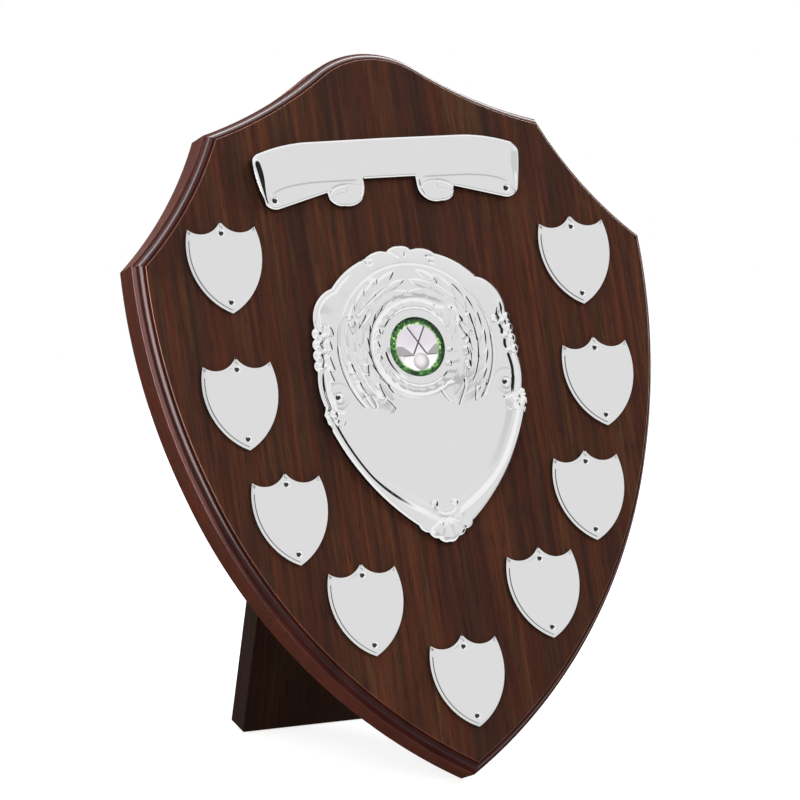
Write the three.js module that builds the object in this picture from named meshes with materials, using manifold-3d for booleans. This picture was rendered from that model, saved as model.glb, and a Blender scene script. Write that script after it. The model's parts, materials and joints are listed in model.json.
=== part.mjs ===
// Perpetual award shield: a moulded wooden board with pressed metal plates,
// standing on a hinged wooden strut. Millimetres, +Z up, +X to the right, front facing -Y.
import * as THREE from 'three';
import * as BufferGeometryUtils from 'three/addons/utils/BufferGeometryUtils.js';
import Module from 'manifold-3d';

const wasm = await Module();
wasm.setup();

// Clearances
const seatGap = 0.3;
const shankGap = 0.3;
const cutOverrun = 1;

// Board: outline corners are given by half width and by their drop below the peak
const boardHeight = 304.6;
const boardThickness = 18;
const crownHalfWidth = 23.9;
const crownDrop = 7.35;
const shoulderHalfWidth = 77.2;
const shoulderDrop = 31.7;
const earHalfWidth = 117.7;
const earDrop = 84.3;
const flankHalfWidth = 104.1;
const flankDrop = 178.2;
const crownBulgeShare = 0.075;
const browBulgeShare = -0.0405;
const neckBulgeShare = -0.053;
const flankBulgeShare = 0.0472;
const pointBulgeShare = 0.0944;

// Moulded edge, measured inwards from the side wall and back from the face
const mouldingDepth = 5.6;
const mouldingWidth = 4.1;
const wallArris = 0.35;
const coveWidth = 1.45;
const coveRise = 2.05;
const coveSag = 0.4;
const beadWidth = 1.5;
const beadRise = 2.1;
const beadSag = 0.5;
const quirkWidth = 0.35;
const faceArris = 0.35;

// Strut and the angle that it stands at
const openAngleDegrees = 33.2;
const strutLength = 202.2;
const strutHeel = 15;
const strutThickness = 12.3;
const strutFootWidth = 87;
const strutTopWidth = 77;
const strutMeetsBackHeight = 209.1;

// Butt hinge
const hingeLength = 50;
const leafThickness = 1.5;
const leafDepth = 16;
const knuckleRadius = 2.5;
const knuckleCount = 5;
const knuckleGap = 0.4;
const hingePinRadius = 1.1;
const hingePinGap = 0.25;
const hingePinHead = 0.6;
const hingePinHeadRadius = 1.9;
const screwSpacing = 32;
const screwSetback = 10;
const screwHeadRadius = 2.7;
const screwShankRadius = 1.3;
const screwLength = 10;
const screwSlotWidth = 0.6;
const screwSlotDepth = 0.6;

// Pins that hold the plates
const pinShankRadius = 0.5;
const pinHeadRadius = 1.1;
const pinHeadHeight = 0.7;
const pinHeadEdgeShare = 0.35;
const pinHeadCrownShare = 0.5;
const pinLength = 10;

// Side plates
const sidePlateHeight = 38.65;
const sideCuspHalfWidth = 15;
const sideCuspDrop = 3;
const sideDipBulgeShare = -0.235;
const sideBellyBulgeShare = 0.195;
const sidePlateEdge = 0.5;
const sidePlateRise = 1.0;
const sidePlateBevel = 1.6;
const sidePinTopInset = 5.2;
const sidePinTipInset = 4.6;

// Ribbon plate
const ribbonHalfLength = 62.05;
const ribbonHeight = 27.8;
const ribbonTopDrop = 38.4;
const ribbonOffset = 0.6;
const ribbonEdge = 0.8;
const ribbonRise = 1.7;
const ribbonBevel = 1.9;
const ribbonPinSpacing = 107.3;
const ribbonPinRaise = 3.7;

// Embossed shield: its height and place follow the board's height
const emblemShieldHalfWidth = 47.1;
const emblemShieldHeightShare = 0.4097;
const emblemShieldHeight = boardHeight * emblemShieldHeightShare;
const emblemShieldBottomShare = 0.3131;
const emblemShieldBottom = boardHeight * emblemShieldBottomShare;
const emblemShieldOffset = 0.4;
const emblemShieldTurnDegrees = 1;
const emblemShieldEdge = 0.8;
const emblemRimRise = 2.6;
const emblemFieldRise = 0.9;
const rimCentreShare = 0.51;
const rimSlopeShare = 0.97;
const rimOuterCrestShare = 0.945;
const rimInnerCrestShare = 0.915;
const rimFootShare = 0.88;
const emblemPinSpacing = 77.4;
const emblemPinRaiseShare = 0.5128;
const emblemPinRaise = emblemShieldHeight * emblemPinRaiseShare;
const medallionRadius = 35.5;
const medallionHeightShare = 0.6547;
const medallionHeight = emblemShieldHeight * medallionHeightShare;
const medallionRise = 2.2;
const medallionFloorShare = 0.4607;
const medallionFloor = emblemShieldHeight * medallionFloorShare;
const wreathInnerRadius = 22;
const wreathOuterRadius = 33;
const ropeRingRadius = 18;
const ropeRingWidth = 6;
const ropeRise = 0.7;

// Printed centre disc and its clear dome
const discRadius = 12.5;
const discThickness = 0.8;
const discPocketFloor = 1;
const domeThickness = 1.4;
const domeEdge = 0.5;
const domeShoulderRadiusShare = 0.9;
const domeShoulderHeightShare = 0.65;
const domeCrownRadiusShare = 0.6;
const domeCrownHeightShare = 0.9;

// Smoothness of curved stretches
const arcSteps = 4;
const longArcSteps = 9;
const roundSteps = 8;
const ringSteps = 36;

const woodFace = new THREE.MeshStandardMaterial({ color: 0x582f24, roughness: 0.35, metalness: 0 });
const woodBack = new THREE.MeshStandardMaterial({ color: 0x46302a, roughness: 0.5, metalness: 0 });
const silverPlate = new THREE.MeshStandardMaterial({ color: 0xdedede, roughness: 0.2, metalness: 1 });
const silverPin = new THREE.MeshStandardMaterial({ color: 0xcfcfcf, roughness: 0.3, metalness: 1 });
const hingeBrass = new THREE.MeshStandardMaterial({ color: 0xb5904a, roughness: 0.35, metalness: 1 });
const printedDisc = new THREE.MeshStandardMaterial({ color: 0x2f7d2a, roughness: 0.3, metalness: 0.4 });
const clearResin = new THREE.MeshStandardMaterial({
  color: 0xffffff,
  roughness: 0.05,
  metalness: 0,
  transparent: true,
  opacity: 0.35,
});

// Points along the arc from start to end. The bulge share is the arc's height over its chord,
// positive to the left of the way from start to end. The end point itself is left out.
function arcPoints(start, end, bulgeShare, steps) {
  if (bulgeShare === 0) {
    return [start.clone()];
  }
  const chord = end.clone().sub(start);
  const length = chord.length();
  const side = new THREE.Vector2(-chord.y, chord.x).divideScalar(length);
  const sag = bulgeShare * length;
  const radius = ((length * length) / 4 + sag * sag) / (2 * sag);
  const centre = start.clone().add(end).multiplyScalar(1 / 2).addScaledVector(side, sag - radius);
  const halfTurn = 2 * Math.atan(2 * bulgeShare);
  const points = [];
  for (let i = 0; i < steps; i += 1) {
    const turn = -2 * halfTurn * (i / steps);
    points.push(start.clone().rotateAround(centre, turn));
  }
  return points;
}

// A closed outline, counter-clockwise, from the corners of its right half, top to bottom.
// Each corner is [across, up, bulge share of the stretch that follows, steps].
function mirroredOutline(corners) {
  const right = [];
  for (let i = 0; i < corners.length - 1; i += 1) {
    const [across, up, bulgeShare, steps] = corners[i];
    const start = new THREE.Vector2(across, up);
    const end = new THREE.Vector2(corners[i + 1][0], corners[i + 1][1]);
    right.push(...arcPoints(start, end, bulgeShare, steps ?? arcSteps));
  }
  const last = corners[corners.length - 1];
  right.push(new THREE.Vector2(last[0], last[1]));
  const onAxis = (point) => Math.abs(point.x) < Number.EPSILON;
  const left = right.filter((point) => !onAxis(point)).map((point) => new THREE.Vector2(-point.x, point.y));
  return [...left, ...right.reverse()];
}

// The outline moved inwards by the same distance everywhere, with mitred corners
function insetOutline(outline, inset) {
  const count = outline.length;
  return outline.map((point, i) => {
    const before = point.clone().sub(outline[(i + count - 1) % count]).normalize();
    const after = outline[(i + 1) % count].clone().sub(point).normalize();
    const inward = new THREE.Vector2(-before.y - after.y, before.x + after.x).normalize();
    const lean = inward.x * -before.y + inward.y * before.x;
    return point.clone().addScaledVector(inward, inset / lean);
  });
}

// The outline drawn in towards a centre, for shapes whose small scallops can't be inset
function shrunkOutline(outline, centre, share) {
  return outline.map((point) => centre.clone().lerp(point, share));
}

// A closed solid through rings of equal point counts. Each ring is { outline, out }.
function ringSolid(rings) {
  const count = rings[0].outline.length;
  const positions = [];
  for (const ring of rings) {
    for (const point of ring.outline) {
      positions.push(point.x, point.y, ring.out);
    }
  }
  const indices = [];
  for (let level = 0; level < rings.length - 1; level += 1) {
    for (let i = 0; i < count; i += 1) {
      const next = (i + 1) % count;
      const a = level * count + i;
      const b = level * count + next;
      const c = a + count;
      const d = b + count;
      indices.push(a, b, d, a, d, c);
    }
  }
  const top = (rings.length - 1) * count;
  for (const [a, b, c] of THREE.ShapeUtils.triangulateShape(rings[0].outline, [])) {
    indices.push(a, c, b);
  }
  for (const [a, b, c] of THREE.ShapeUtils.triangulateShape(rings[rings.length - 1].outline, [])) {
    indices.push(top + a, top + b, top + c);
  }
  const geometry = new THREE.BufferGeometry();
  geometry.setAttribute('position', new THREE.Float32BufferAttribute(positions, 3));
  geometry.setIndex(indices);
  return geometry;
}

// A turned solid about the z axis from [radius, height] pairs, bottom to top on the outside
function turnedSolid(profile, steps) {
  const points = profile.map(([radius, height]) => new THREE.Vector2(radius, height));
  return new THREE.LatheGeometry(points, steps).rotateX(Math.PI / 2);
}

function solidOf(geometry) {
  const bare = geometry.clone();
  bare.deleteAttribute('normal');
  bare.deleteAttribute('uv');
  const merged = BufferGeometryUtils.mergeVertices(bare);
  const vertProperties = new Float32Array(merged.attributes.position.array);
  const triVerts = new Uint32Array(merged.index.array);
  return new wasm.Manifold(new wasm.Mesh({ numProp: 3, vertProperties, triVerts }));
}

function geometryOf(solid) {
  const { vertProperties, triVerts } = solid.getMesh();
  const geometry = new THREE.BufferGeometry();
  geometry.setAttribute('position', new THREE.Float32BufferAttribute(vertProperties, 3));
  geometry.setIndex(Array.from(triVerts));
  return geometry;
}

function cut(geometry, tools) {
  return geometryOf(tools.reduce((solid, tool) => solid.subtract(solidOf(tool)), solidOf(geometry)));
}

function join(geometries) {
  return geometryOf(geometries.map(solidOf).reduce((whole, piece) => whole.add(piece)));
}

function addPiece(parent, name, geometry, material) {
  const mesh = new THREE.Mesh(geometry, material);
  mesh.name = name;
  parent.add(mesh);
  return mesh;
}

// A round hole along z, from low to high, at a place across and up the face
function hole(across, up, radius, low, high) {
  const geometry = turnedSolid([[0, low], [radius, low], [radius, high], [0, high]], roundSteps);
  return geometry.translate(across, up, 0);
}

// Board outline, tip at the origin of the face
const boardCorners = [
  [0, boardHeight, crownBulgeShare],
  [crownHalfWidth, boardHeight - crownDrop, browBulgeShare],
  [shoulderHalfWidth, boardHeight - shoulderDrop, neckBulgeShare],
  [earHalfWidth, boardHeight - earDrop, flankBulgeShare, longArcSteps],
  [flankHalfWidth, boardHeight - flankDrop, pointBulgeShare, longArcSteps],
  [0, 0],
];
const boardOutline = mirroredOutline(boardCorners);

// Moulding rings from the side wall to the face: arris, cove, bead, quirk, arris
function mouldingProfile() {
  const points = [new THREE.Vector2(0, -mouldingDepth)];
  const coveStart = new THREE.Vector2(wallArris, wallArris - mouldingDepth);
  const beadStart = new THREE.Vector2(coveStart.x + coveWidth, coveStart.y + coveRise);
  const beadEnd = new THREE.Vector2(beadStart.x + beadWidth, beadStart.y + beadRise);
  points.push(...arcPoints(coveStart, beadStart, -coveSag / coveStart.distanceTo(beadStart), arcSteps));
  points.push(...arcPoints(beadStart, beadEnd, beadSag / beadStart.distanceTo(beadEnd), arcSteps));
  points.push(beadEnd);
  points.push(new THREE.Vector2(beadEnd.x + quirkWidth, beadEnd.y));
  points.push(new THREE.Vector2(mouldingWidth - faceArris, -faceArris));
  points.push(new THREE.Vector2(mouldingWidth, 0));
  return points;
}

// Where each fixing pin stands on the board's face, and what carries it
const pinPlaces = [];

function addPin(parent, name, across, up, seat) {
  const profile = [
    [0, seat - pinLength],
    [pinShankRadius, seat - pinLength + pinShankRadius],
    [pinShankRadius, seat],
    [pinHeadRadius, seat],
    [pinHeadRadius, seat + pinHeadHeight * pinHeadEdgeShare],
    [pinHeadRadius * pinHeadCrownShare, seat + pinHeadHeight],
    [0, seat + pinHeadHeight],
  ];
  const mesh = addPiece(parent, name, turnedSolid(profile, roundSteps), silverPin);
  mesh.position.set(across, up, 0);
}

// Side plates: a three-cusped shield with a bevelled edge, tip at its own origin
const sidePlateCorners = [
  [0, sidePlateHeight, sideDipBulgeShare],
  [sideCuspHalfWidth, sidePlateHeight - sideCuspDrop, sideBellyBulgeShare, roundSteps],
  [0, 0],
];
const sidePlateOutline = mirroredOutline(sidePlateCorners);
const sidePinHeights = [sidePlateHeight - sidePinTopInset, sidePinTipInset];

// Places as shares of the board's half width and height, with the turn in degrees
const sidePlatePlaces = [
  { name: 'side_plate_left_1', acrossShare: -0.672, upShare: 0.6453, turn: -0.3 },
  { name: 'side_plate_left_2', acrossShare: -0.687, upShare: 0.4595, turn: 0.5 },
  { name: 'side_plate_left_3', acrossShare: -0.5625, upShare: 0.3, turn: 1.6 },
  { name: 'side_plate_left_4', acrossShare: -0.33, upShare: 0.1696, turn: 1.4 },
  { name: 'side_plate_right_1', acrossShare: 0.7026, upShare: 0.6259, turn: 0.5 },
  { name: 'side_plate_right_2', acrossShare: 0.718, upShare: 0.4535, turn: 0.4 },
  { name: 'side_plate_right_3', acrossShare: 0.6007, upShare: 0.2966, turn: -0.8 },
  { name: 'side_plate_right_4', acrossShare: 0.366, upShare: 0.1693, turn: 1.4 },
  { name: 'side_plate_bottom', acrossShare: 0.02, upShare: 0.061, turn: 2.5 },
];

// Ribbon plate outline as shares of its half length and height, from the top's middle
const ribbonBottom = boardHeight - ribbonTopDrop - ribbonHeight;
const ribbonCornerShares = [
  [0, 1, 0],
  [0.58, 0.993, 0.035],
  [0.927, 0.863, 0.18],
  [1, 0.669, 0.02],
  [0.956, 0.169, 0.2],
  [0.848, 0.004, 0],
  [0.474, 0.216, 0],
  [0.467, 0.112, 0.15],
  [0.361, 0, 0.15],
  [0.213, 0.122, 0.05],
  [0.195, 0.255, 0],
  [0.193, 0.397, 0],
  [0, 0.397],
];

// Embossed shield outline as shares of its half width and height, from the crest down
const emblemShieldCornerShares = [
  [0, 1, 0.12],
  [0.119, 0.985, 0.12],
  [0.344, 0.966, 0.07],
  [0.713, 0.876, 0.19],
  [0.941, 0.748, 0.3],
  [0.956, 0.711, 0.3],
  [0.967, 0.675, 0.3],
  [0.977, 0.639, 0.3],
  [0.981, 0.603, 0.07],
  [0.97, 0.484, 0.15],
  [0.962, 0.421, 0.0725, longArcSteps],
  [0.268, 0.064, 0.18],
  [0.183, 0.038, 0.18],
  [0.098, 0.015, 0.18],
  [0, 0],
];

function scaledCorners(cornerShares, halfWidth, height) {
  return cornerShares.map(([across, up, ...rest]) => [across * halfWidth, up * height, ...rest]);
}

function addSidePlate(parent, place) {
  const plate = new THREE.Group();
  plate.position.set(place.acrossShare * earHalfWidth, place.upShare * boardHeight, 0);
  plate.rotation.z = THREE.MathUtils.degToRad(place.turn);
  parent.add(plate);
  const top = seatGap + sidePlateEdge + sidePlateRise;
  const rings = [
    { outline: sidePlateOutline, out: seatGap },
    { outline: sidePlateOutline, out: seatGap + sidePlateEdge },
    { outline: insetOutline(sidePlateOutline, sidePlateBevel), out: top },
  ];
  const holes = sidePinHeights.map((up) => hole(0, up, pinShankRadius + shankGap, 0, top + cutOverrun));
  addPiece(plate, place.name, cut(ringSolid(rings), holes), silverPlate);
  sidePinHeights.forEach((up, i) => {
    const spot = new THREE.Vector2(0, up).rotateAround(new THREE.Vector2(), plate.rotation.z);
    pinPlaces.push(new THREE.Vector2(plate.position.x + spot.x, plate.position.y + spot.y));
    addPin(plate, `${place.name}_pin_${i + 1}`, 0, up, top + seatGap);
  });
}

function addRibbon(parent) {
  const outline = mirroredOutline(scaledCorners(ribbonCornerShares, ribbonHalfLength, ribbonHeight));
  const top = seatGap + ribbonEdge + ribbonRise;
  const rings = [
    { outline, out: seatGap },
    { outline, out: seatGap + ribbonEdge },
    { outline: insetOutline(outline, ribbonBevel), out: top },
  ];
  const ribbon = new THREE.Group();
  ribbon.position.set(ribbonOffset, ribbonBottom, 0);
  parent.add(ribbon);
  const pins = [-ribbonPinSpacing / 2, ribbonPinSpacing / 2];
  const holes = pins.map((across) => (
    hole(across, ribbonPinRaise, pinShankRadius + shankGap, 0, top + cutOverrun)
  ));
  addPiece(ribbon, 'ribbon_plate', cut(ringSolid(rings), holes), silverPlate);
  pins.forEach((across, i) => {
    pinPlaces.push(new THREE.Vector2(ribbonOffset + across, ribbonBottom + ribbonPinRaise));
    addPin(ribbon, `ribbon_plate_pin_${i + 1}`, across, ribbonPinRaise, top + seatGap);
  });
}

// The pressed shield: a rolled rim, a flat field, and a round medallion with a pocket
function emblemShieldSolid() {
  const corners = scaledCorners(emblemShieldCornerShares, emblemShieldHalfWidth, emblemShieldHeight);
  const outline = mirroredOutline(corners);
  const centre = new THREE.Vector2(0, rimCentreShare * emblemShieldHeight);
  const edge = seatGap + emblemShieldEdge;
  const field = seatGap + emblemFieldRise;
  const rim = edge + emblemRimRise;
  const rings = [
    { outline, out: seatGap },
    { outline, out: edge },
    { outline: shrunkOutline(outline, centre, rimSlopeShare), out: (edge + rim) / 2 },
    { outline: shrunkOutline(outline, centre, rimOuterCrestShare), out: rim },
    { outline: shrunkOutline(outline, centre, rimInnerCrestShare), out: rim },
    { outline: shrunkOutline(outline, centre, rimFootShare), out: field },
  ];
  const wreath = field + medallionRise;
  const profile = [
    [0, seatGap],
    [medallionRadius, seatGap],
    [medallionRadius, field],
    [wreathOuterRadius, wreath],
    [wreathInnerRadius, wreath],
    [ropeRingRadius + ropeRingWidth / 2, field],
    [ropeRingRadius, wreath + ropeRise],
    [ropeRingRadius - ropeRingWidth / 2, field + discThickness],
    [0, field + discThickness],
  ];
  const medallion = turnedSolid(profile, ringSteps).translate(0, medallionHeight, 0);
  const clipSize = 2 * medallionRadius;
  const clip = new THREE.BoxGeometry(clipSize, clipSize, clipSize).translate(0, medallionFloor - clipSize / 2, 0);
  const whole = join([ringSolid(rings), cut(medallion, [clip])]);
  const pocketRadius = discRadius + shankGap;
  const pocketProfile = [
    [0, discPocketFloor],
    [pocketRadius, discPocketFloor],
    [pocketRadius, wreath + cutOverrun],
    [0, wreath + cutOverrun],
  ];
  return cut(whole, [turnedSolid(pocketProfile, ringSteps).translate(0, medallionHeight, 0)]);
}

function addEmblemShield(parent) {
  // The shield is pinned a little turned about its medallion
  const middle = new THREE.Vector2(emblemShieldOffset, emblemShieldBottom + medallionHeight);
  const turn = THREE.MathUtils.degToRad(emblemShieldTurnDegrees);
  const tip = new THREE.Vector2(middle.x, emblemShieldBottom).rotateAround(middle, turn);
  const emblem = new THREE.Group();
  emblem.position.set(tip.x, tip.y, 0);
  emblem.rotation.z = turn;
  parent.add(emblem);
  const field = seatGap + emblemFieldRise;
  const pins = [-emblemPinSpacing / 2, emblemPinSpacing / 2];
  const holes = pins.map((across) => (
    hole(across, emblemPinRaise, pinShankRadius + shankGap, 0, field + emblemRimRise + cutOverrun)
  ));
  addPiece(emblem, 'embossed_shield', cut(emblemShieldSolid(), holes), silverPlate);
  pins.forEach((across, i) => {
    const spot = new THREE.Vector2(across, emblemPinRaise).rotateAround(new THREE.Vector2(), turn);
    pinPlaces.push(spot.add(tip));
    addPin(emblem, `embossed_shield_pin_${i + 1}`, across, emblemPinRaise, field + seatGap);
  });
  const discSeat = discPocketFloor + seatGap;
  const discTop = discSeat + discThickness;
  const discProfile = [[0, discSeat], [discRadius, discSeat], [discRadius, discTop], [0, discTop]];
  const disc = addPiece(emblem, 'centre_disc', turnedSolid(discProfile, ringSteps), printedDisc);
  disc.position.y = medallionHeight;
  const domeSeat = discTop + seatGap;
  const domeProfile = [
    [0, domeSeat],
    [discRadius, domeSeat],
    [discRadius, domeSeat + domeEdge],
    [discRadius * domeShoulderRadiusShare, domeSeat + domeThickness * domeShoulderHeightShare],
    [discRadius * domeCrownRadiusShare, domeSeat + domeThickness * domeCrownHeightShare],
    [0, domeSeat + domeThickness],
  ];
  const dome = addPiece(emblem, 'clear_dome', turnedSolid(domeProfile, ringSteps), clearResin);
  dome.position.y = medallionHeight;
}

// Hinge, strut and their angles
const openAngle = THREE.MathUtils.degToRad(openAngleDegrees);
const axisOffset = knuckleRadius + seatGap;
const axisToHeel = axisOffset / Math.tan(openAngle / 2);
const axisHeight = strutMeetsBackHeight - axisToHeel;
const screwPlaces = [-screwSpacing / 2, screwSpacing / 2];

function tubeAlongX(radius, start, end) {
  return new THREE.CylinderGeometry(radius, radius, end - start, 2 * roundSteps)
    .rotateZ(Math.PI / 2)
    .translate((start + end) / 2, 0, 0);
}

function box(low, high) {
  const size = high.clone().sub(low);
  const middle = high.clone().add(low).multiplyScalar(1 / 2);
  return new THREE.BoxGeometry(size.x, size.y, size.z).translate(middle.x, middle.y, middle.z);
}

// Start and end of each knuckle along the pin
function knuckleSpans() {
  const pitch = (hingeLength + knuckleGap) / knuckleCount;
  return Array.from({ length: knuckleCount }, (_, i) => {
    const start = -hingeLength / 2 + i * pitch;
    return [start, start + pitch - knuckleGap];
  });
}

// A countersunk hole down -z from the leaf's open face at height top
function screwSink(across, up, top, widen) {
  const shank = screwShankRadius + widen;
  const profile = [
    [0, top - screwLength - cutOverrun],
    [shank, top - screwLength - cutOverrun],
    [shank, top - leafThickness + widen],
    [screwHeadRadius + widen, top],
    [screwHeadRadius + widen, top + cutOverrun],
    [0, top + cutOverrun],
  ];
  return turnedSolid(profile, roundSteps).translate(across, up, 0);
}

// A leaf lying against a face at z = -knuckleRadius, with every second knuckle from first on
function hingeLeaf(first) {
  const back = -knuckleRadius;
  const open = back + leafThickness;
  const spans = knuckleSpans();
  const own = spans.filter((_, i) => i % 2 === first);
  const other = spans.filter((_, i) => i % 2 !== first);
  const half = hingeLength / 2;
  const plate = box(new THREE.Vector3(-half, -leafDepth, back), new THREE.Vector3(half, 0, open));
  const knuckles = own.map(([start, end]) => tubeAlongX(knuckleRadius, start, end));
  const notches = other.map(([start, end]) => (
    tubeAlongX(knuckleRadius + knuckleGap, start - knuckleGap, end + knuckleGap)
  ));
  const bore = tubeAlongX(hingePinRadius + hingePinGap, -hingeLength, hingeLength);
  const sinks = screwPlaces.map((across) => screwSink(across, -screwSetback, open, shankGap));
  const notched = cut(plate, notches);
  return cut(join([notched, ...knuckles]), [bore, ...sinks]);
}

function hingeScrew() {
  const profile = [
    [0, -screwLength],
    [screwShankRadius, -screwLength + screwShankRadius],
    [screwShankRadius, -leafThickness],
    [screwHeadRadius, 0],
    [0, 0],
  ];
  const slot = new THREE.BoxGeometry(2 * screwHeadRadius + cutOverrun, screwSlotWidth, 2 * screwSlotDepth);
  return cut(turnedSolid(profile, roundSteps), [slot]);
}

function addLeafAndScrews(parent, name, first) {
  const leaf = new THREE.Group();
  parent.add(leaf);
  addPiece(leaf, name, hingeLeaf(first), hingeBrass);
  screwPlaces.forEach((across, i) => {
    const screw = addPiece(leaf, `${name}_screw_${i + 1}`, hingeScrew(), hingeBrass);
    screw.position.set(across, -screwSetback, leafThickness - knuckleRadius);
  });
  return leaf;
}

function hingePin() {
  const half = hingeLength / 2 + seatGap;
  const profile = [
    [0, -half - hingePinHead],
    [hingePinHeadRadius, -half - hingePinHead],
    [hingePinHeadRadius, -half],
    [hingePinRadius, -half],
    [hingePinRadius, half],
    [hingePinHeadRadius, half],
    [hingePinHeadRadius, half + hingePinHead],
    [0, half + hingePinHead],
  ];
  return turnedSolid(profile, roundSteps).rotateY(Math.PI / 2);
}

// The strut in its own frame: hinge axis at the origin, inner face at z = -axisOffset
function strutSolid() {
  const top = axisToHeel + strutHeel;
  const foot = axisToHeel - strutLength;
  const footHalf = strutFootWidth / 2;
  const topHalf = strutTopWidth / 2;
  const shape = new THREE.Shape([
    new THREE.Vector2(-footHalf, foot),
    new THREE.Vector2(footHalf, foot),
    new THREE.Vector2(topHalf, top),
    new THREE.Vector2(-topHalf, top),
  ]);
  const slab = new THREE.ExtrudeGeometry(shape, { depth: strutThickness, bevelEnabled: false });
  slab.translate(0, 0, -axisOffset - strutThickness);
  // The heel is bevelled so that it lies against the board's back when the strut is open
  const clipSize = 2 * strutFootWidth;
  const bevel = new THREE.BoxGeometry(clipSize, clipSize, clipSize)
    .translate(0, 0, clipSize / 2 + knuckleRadius)
    .rotateX(-openAngle);
  const sinks = screwPlaces.map((across) => (
    screwSink(across, -screwSetback, leafThickness - knuckleRadius, shankGap)
  ));
  return cut(slab, [bevel, ...sinks]);
}

// Assembly on the board's face: x across, y up from the tip, z out of the face
const face = new THREE.Group();
const frontPieces = new THREE.Group();
face.add(frontPieces);
sidePlatePlaces.forEach((place) => addSidePlate(frontPieces, place));
addRibbon(frontPieces);
addEmblemShield(frontPieces);

const hinge = new THREE.Group();
hinge.position.set(0, axisHeight, -boardThickness - axisOffset);
face.add(hinge);
const boardLeaf = addLeafAndScrews(hinge, 'hinge_board_leaf', 0);
boardLeaf.rotation.y = Math.PI;
addPiece(hinge, 'hinge_pin', hingePin(), hingeBrass);
const strutGroup = new THREE.Group();
strutGroup.rotation.x = openAngle;
hinge.add(strutGroup);
addLeafAndScrews(strutGroup, 'hinge_strut_leaf', 1);
addPiece(strutGroup, 'strut', strutSolid(), woodBack);

function boardSolid() {
  const rings = mouldingProfile().map((point) => ({
    outline: insetOutline(boardOutline, point.x),
    out: point.y,
  }));
  rings.unshift({ outline: boardOutline, out: -boardThickness });
  const pinHoleFloor = -pinLength;
  const pinHoles = pinPlaces.map((place) => (
    hole(place.x, place.y, pinShankRadius + shankGap, pinHoleFloor, cutOverrun)
  ));
  const screwHoles = screwPlaces.map((across) => {
    const low = -boardThickness - cutOverrun;
    const high = -boardThickness + screwLength;
    return hole(across, axisHeight - screwSetback, screwShankRadius + shankGap, low, high);
  });
  return cut(ringSolid(rings), [...pinHoles, ...screwHoles]);
}

addPiece(face, 'board', boardSolid(), woodFace);

// The tip and the strut's foot stand on the ground, which sets how far the board leans back
const footUp = strutMeetsBackHeight - strutLength * Math.cos(openAngle);
const footBack = strutLength * Math.sin(openAngle);
const lean = Math.atan2(footUp, footBack);
face.rotation.x = Math.PI / 2 - lean;

const group = new THREE.Group();
group.add(face);
group.updateMatrixWorld(true);
const bounds = new THREE.Box3().setFromObject(group, true);
face.position.set(
  -(bounds.min.x + bounds.max.x) / 2,
  -(bounds.min.y + bounds.max.y) / 2,
  -bounds.min.z,
);

export default group;
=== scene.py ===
"""Looks of the perpetual award shield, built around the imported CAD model.

Lengths are in millimetres in the frame of the board's face: x across, y up from the board's tip,
z out of the face. place_on_face() turns them into metres in the row frame.
"""
import json
import math
from functools import partial

import bpy
import numpy as np
from mathutils import Matrix, Vector
from mathutils.geometry import delaunay_2d_cdt

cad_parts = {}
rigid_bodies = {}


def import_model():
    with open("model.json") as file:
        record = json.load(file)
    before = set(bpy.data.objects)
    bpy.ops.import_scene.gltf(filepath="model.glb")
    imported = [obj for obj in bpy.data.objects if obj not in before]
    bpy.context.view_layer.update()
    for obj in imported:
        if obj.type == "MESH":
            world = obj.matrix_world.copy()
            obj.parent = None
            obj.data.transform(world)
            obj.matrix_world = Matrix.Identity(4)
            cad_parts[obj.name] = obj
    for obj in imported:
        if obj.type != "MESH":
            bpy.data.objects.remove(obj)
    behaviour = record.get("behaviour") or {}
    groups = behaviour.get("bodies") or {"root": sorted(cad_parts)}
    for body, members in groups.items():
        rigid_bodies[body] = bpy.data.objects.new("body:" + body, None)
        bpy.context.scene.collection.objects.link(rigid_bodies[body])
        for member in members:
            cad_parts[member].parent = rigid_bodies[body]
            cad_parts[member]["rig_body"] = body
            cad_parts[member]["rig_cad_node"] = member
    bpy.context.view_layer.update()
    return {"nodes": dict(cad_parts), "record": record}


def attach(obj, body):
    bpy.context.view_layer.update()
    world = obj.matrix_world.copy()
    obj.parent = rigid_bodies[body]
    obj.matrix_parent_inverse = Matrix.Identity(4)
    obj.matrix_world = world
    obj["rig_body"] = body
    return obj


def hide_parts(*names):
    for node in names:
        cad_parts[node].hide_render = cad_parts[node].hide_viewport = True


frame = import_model()

MILLIMETRE = 0.001

# Clearances and steps
SEAT_GAP = 0.3
OUTLINE_STEP = 0.9
FINE_STEP = 0.42

# Board
BOARD_HEIGHT = 304.6
BOARD_THICKNESS = 18
EAR_HALF_WIDTH = 117.7
# across, up and the bulge of the arc that follows
BOARD_CORNERS = [
    (0, BOARD_HEIGHT, 0.075),
    (23.9, BOARD_HEIGHT - 7.35, -0.0405),
    (77.2, BOARD_HEIGHT - 31.7, -0.053),
    (EAR_HALF_WIDTH, BOARD_HEIGHT - 84.3, 0.0472),
    (104.1, BOARD_HEIGHT - 178.2, 0.0944),
    (0, 0),
]
MOULDING_DEPTH = 5.6
MOULDING_WIDTH = 4.1
WALL_ARRIS = 0.2
# the cove and the bead: across, out and how far the arc stands from its chord
COVE = (1.5, 2.1, 0.4)
BEAD = (1.5, 2.1, 0.5)
QUIRK_WIDTH = 0.45
FACE_ARRIS = 0.22
BACK_ARRIS = 0.3
PROFILE_STEP = 0.28

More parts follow.
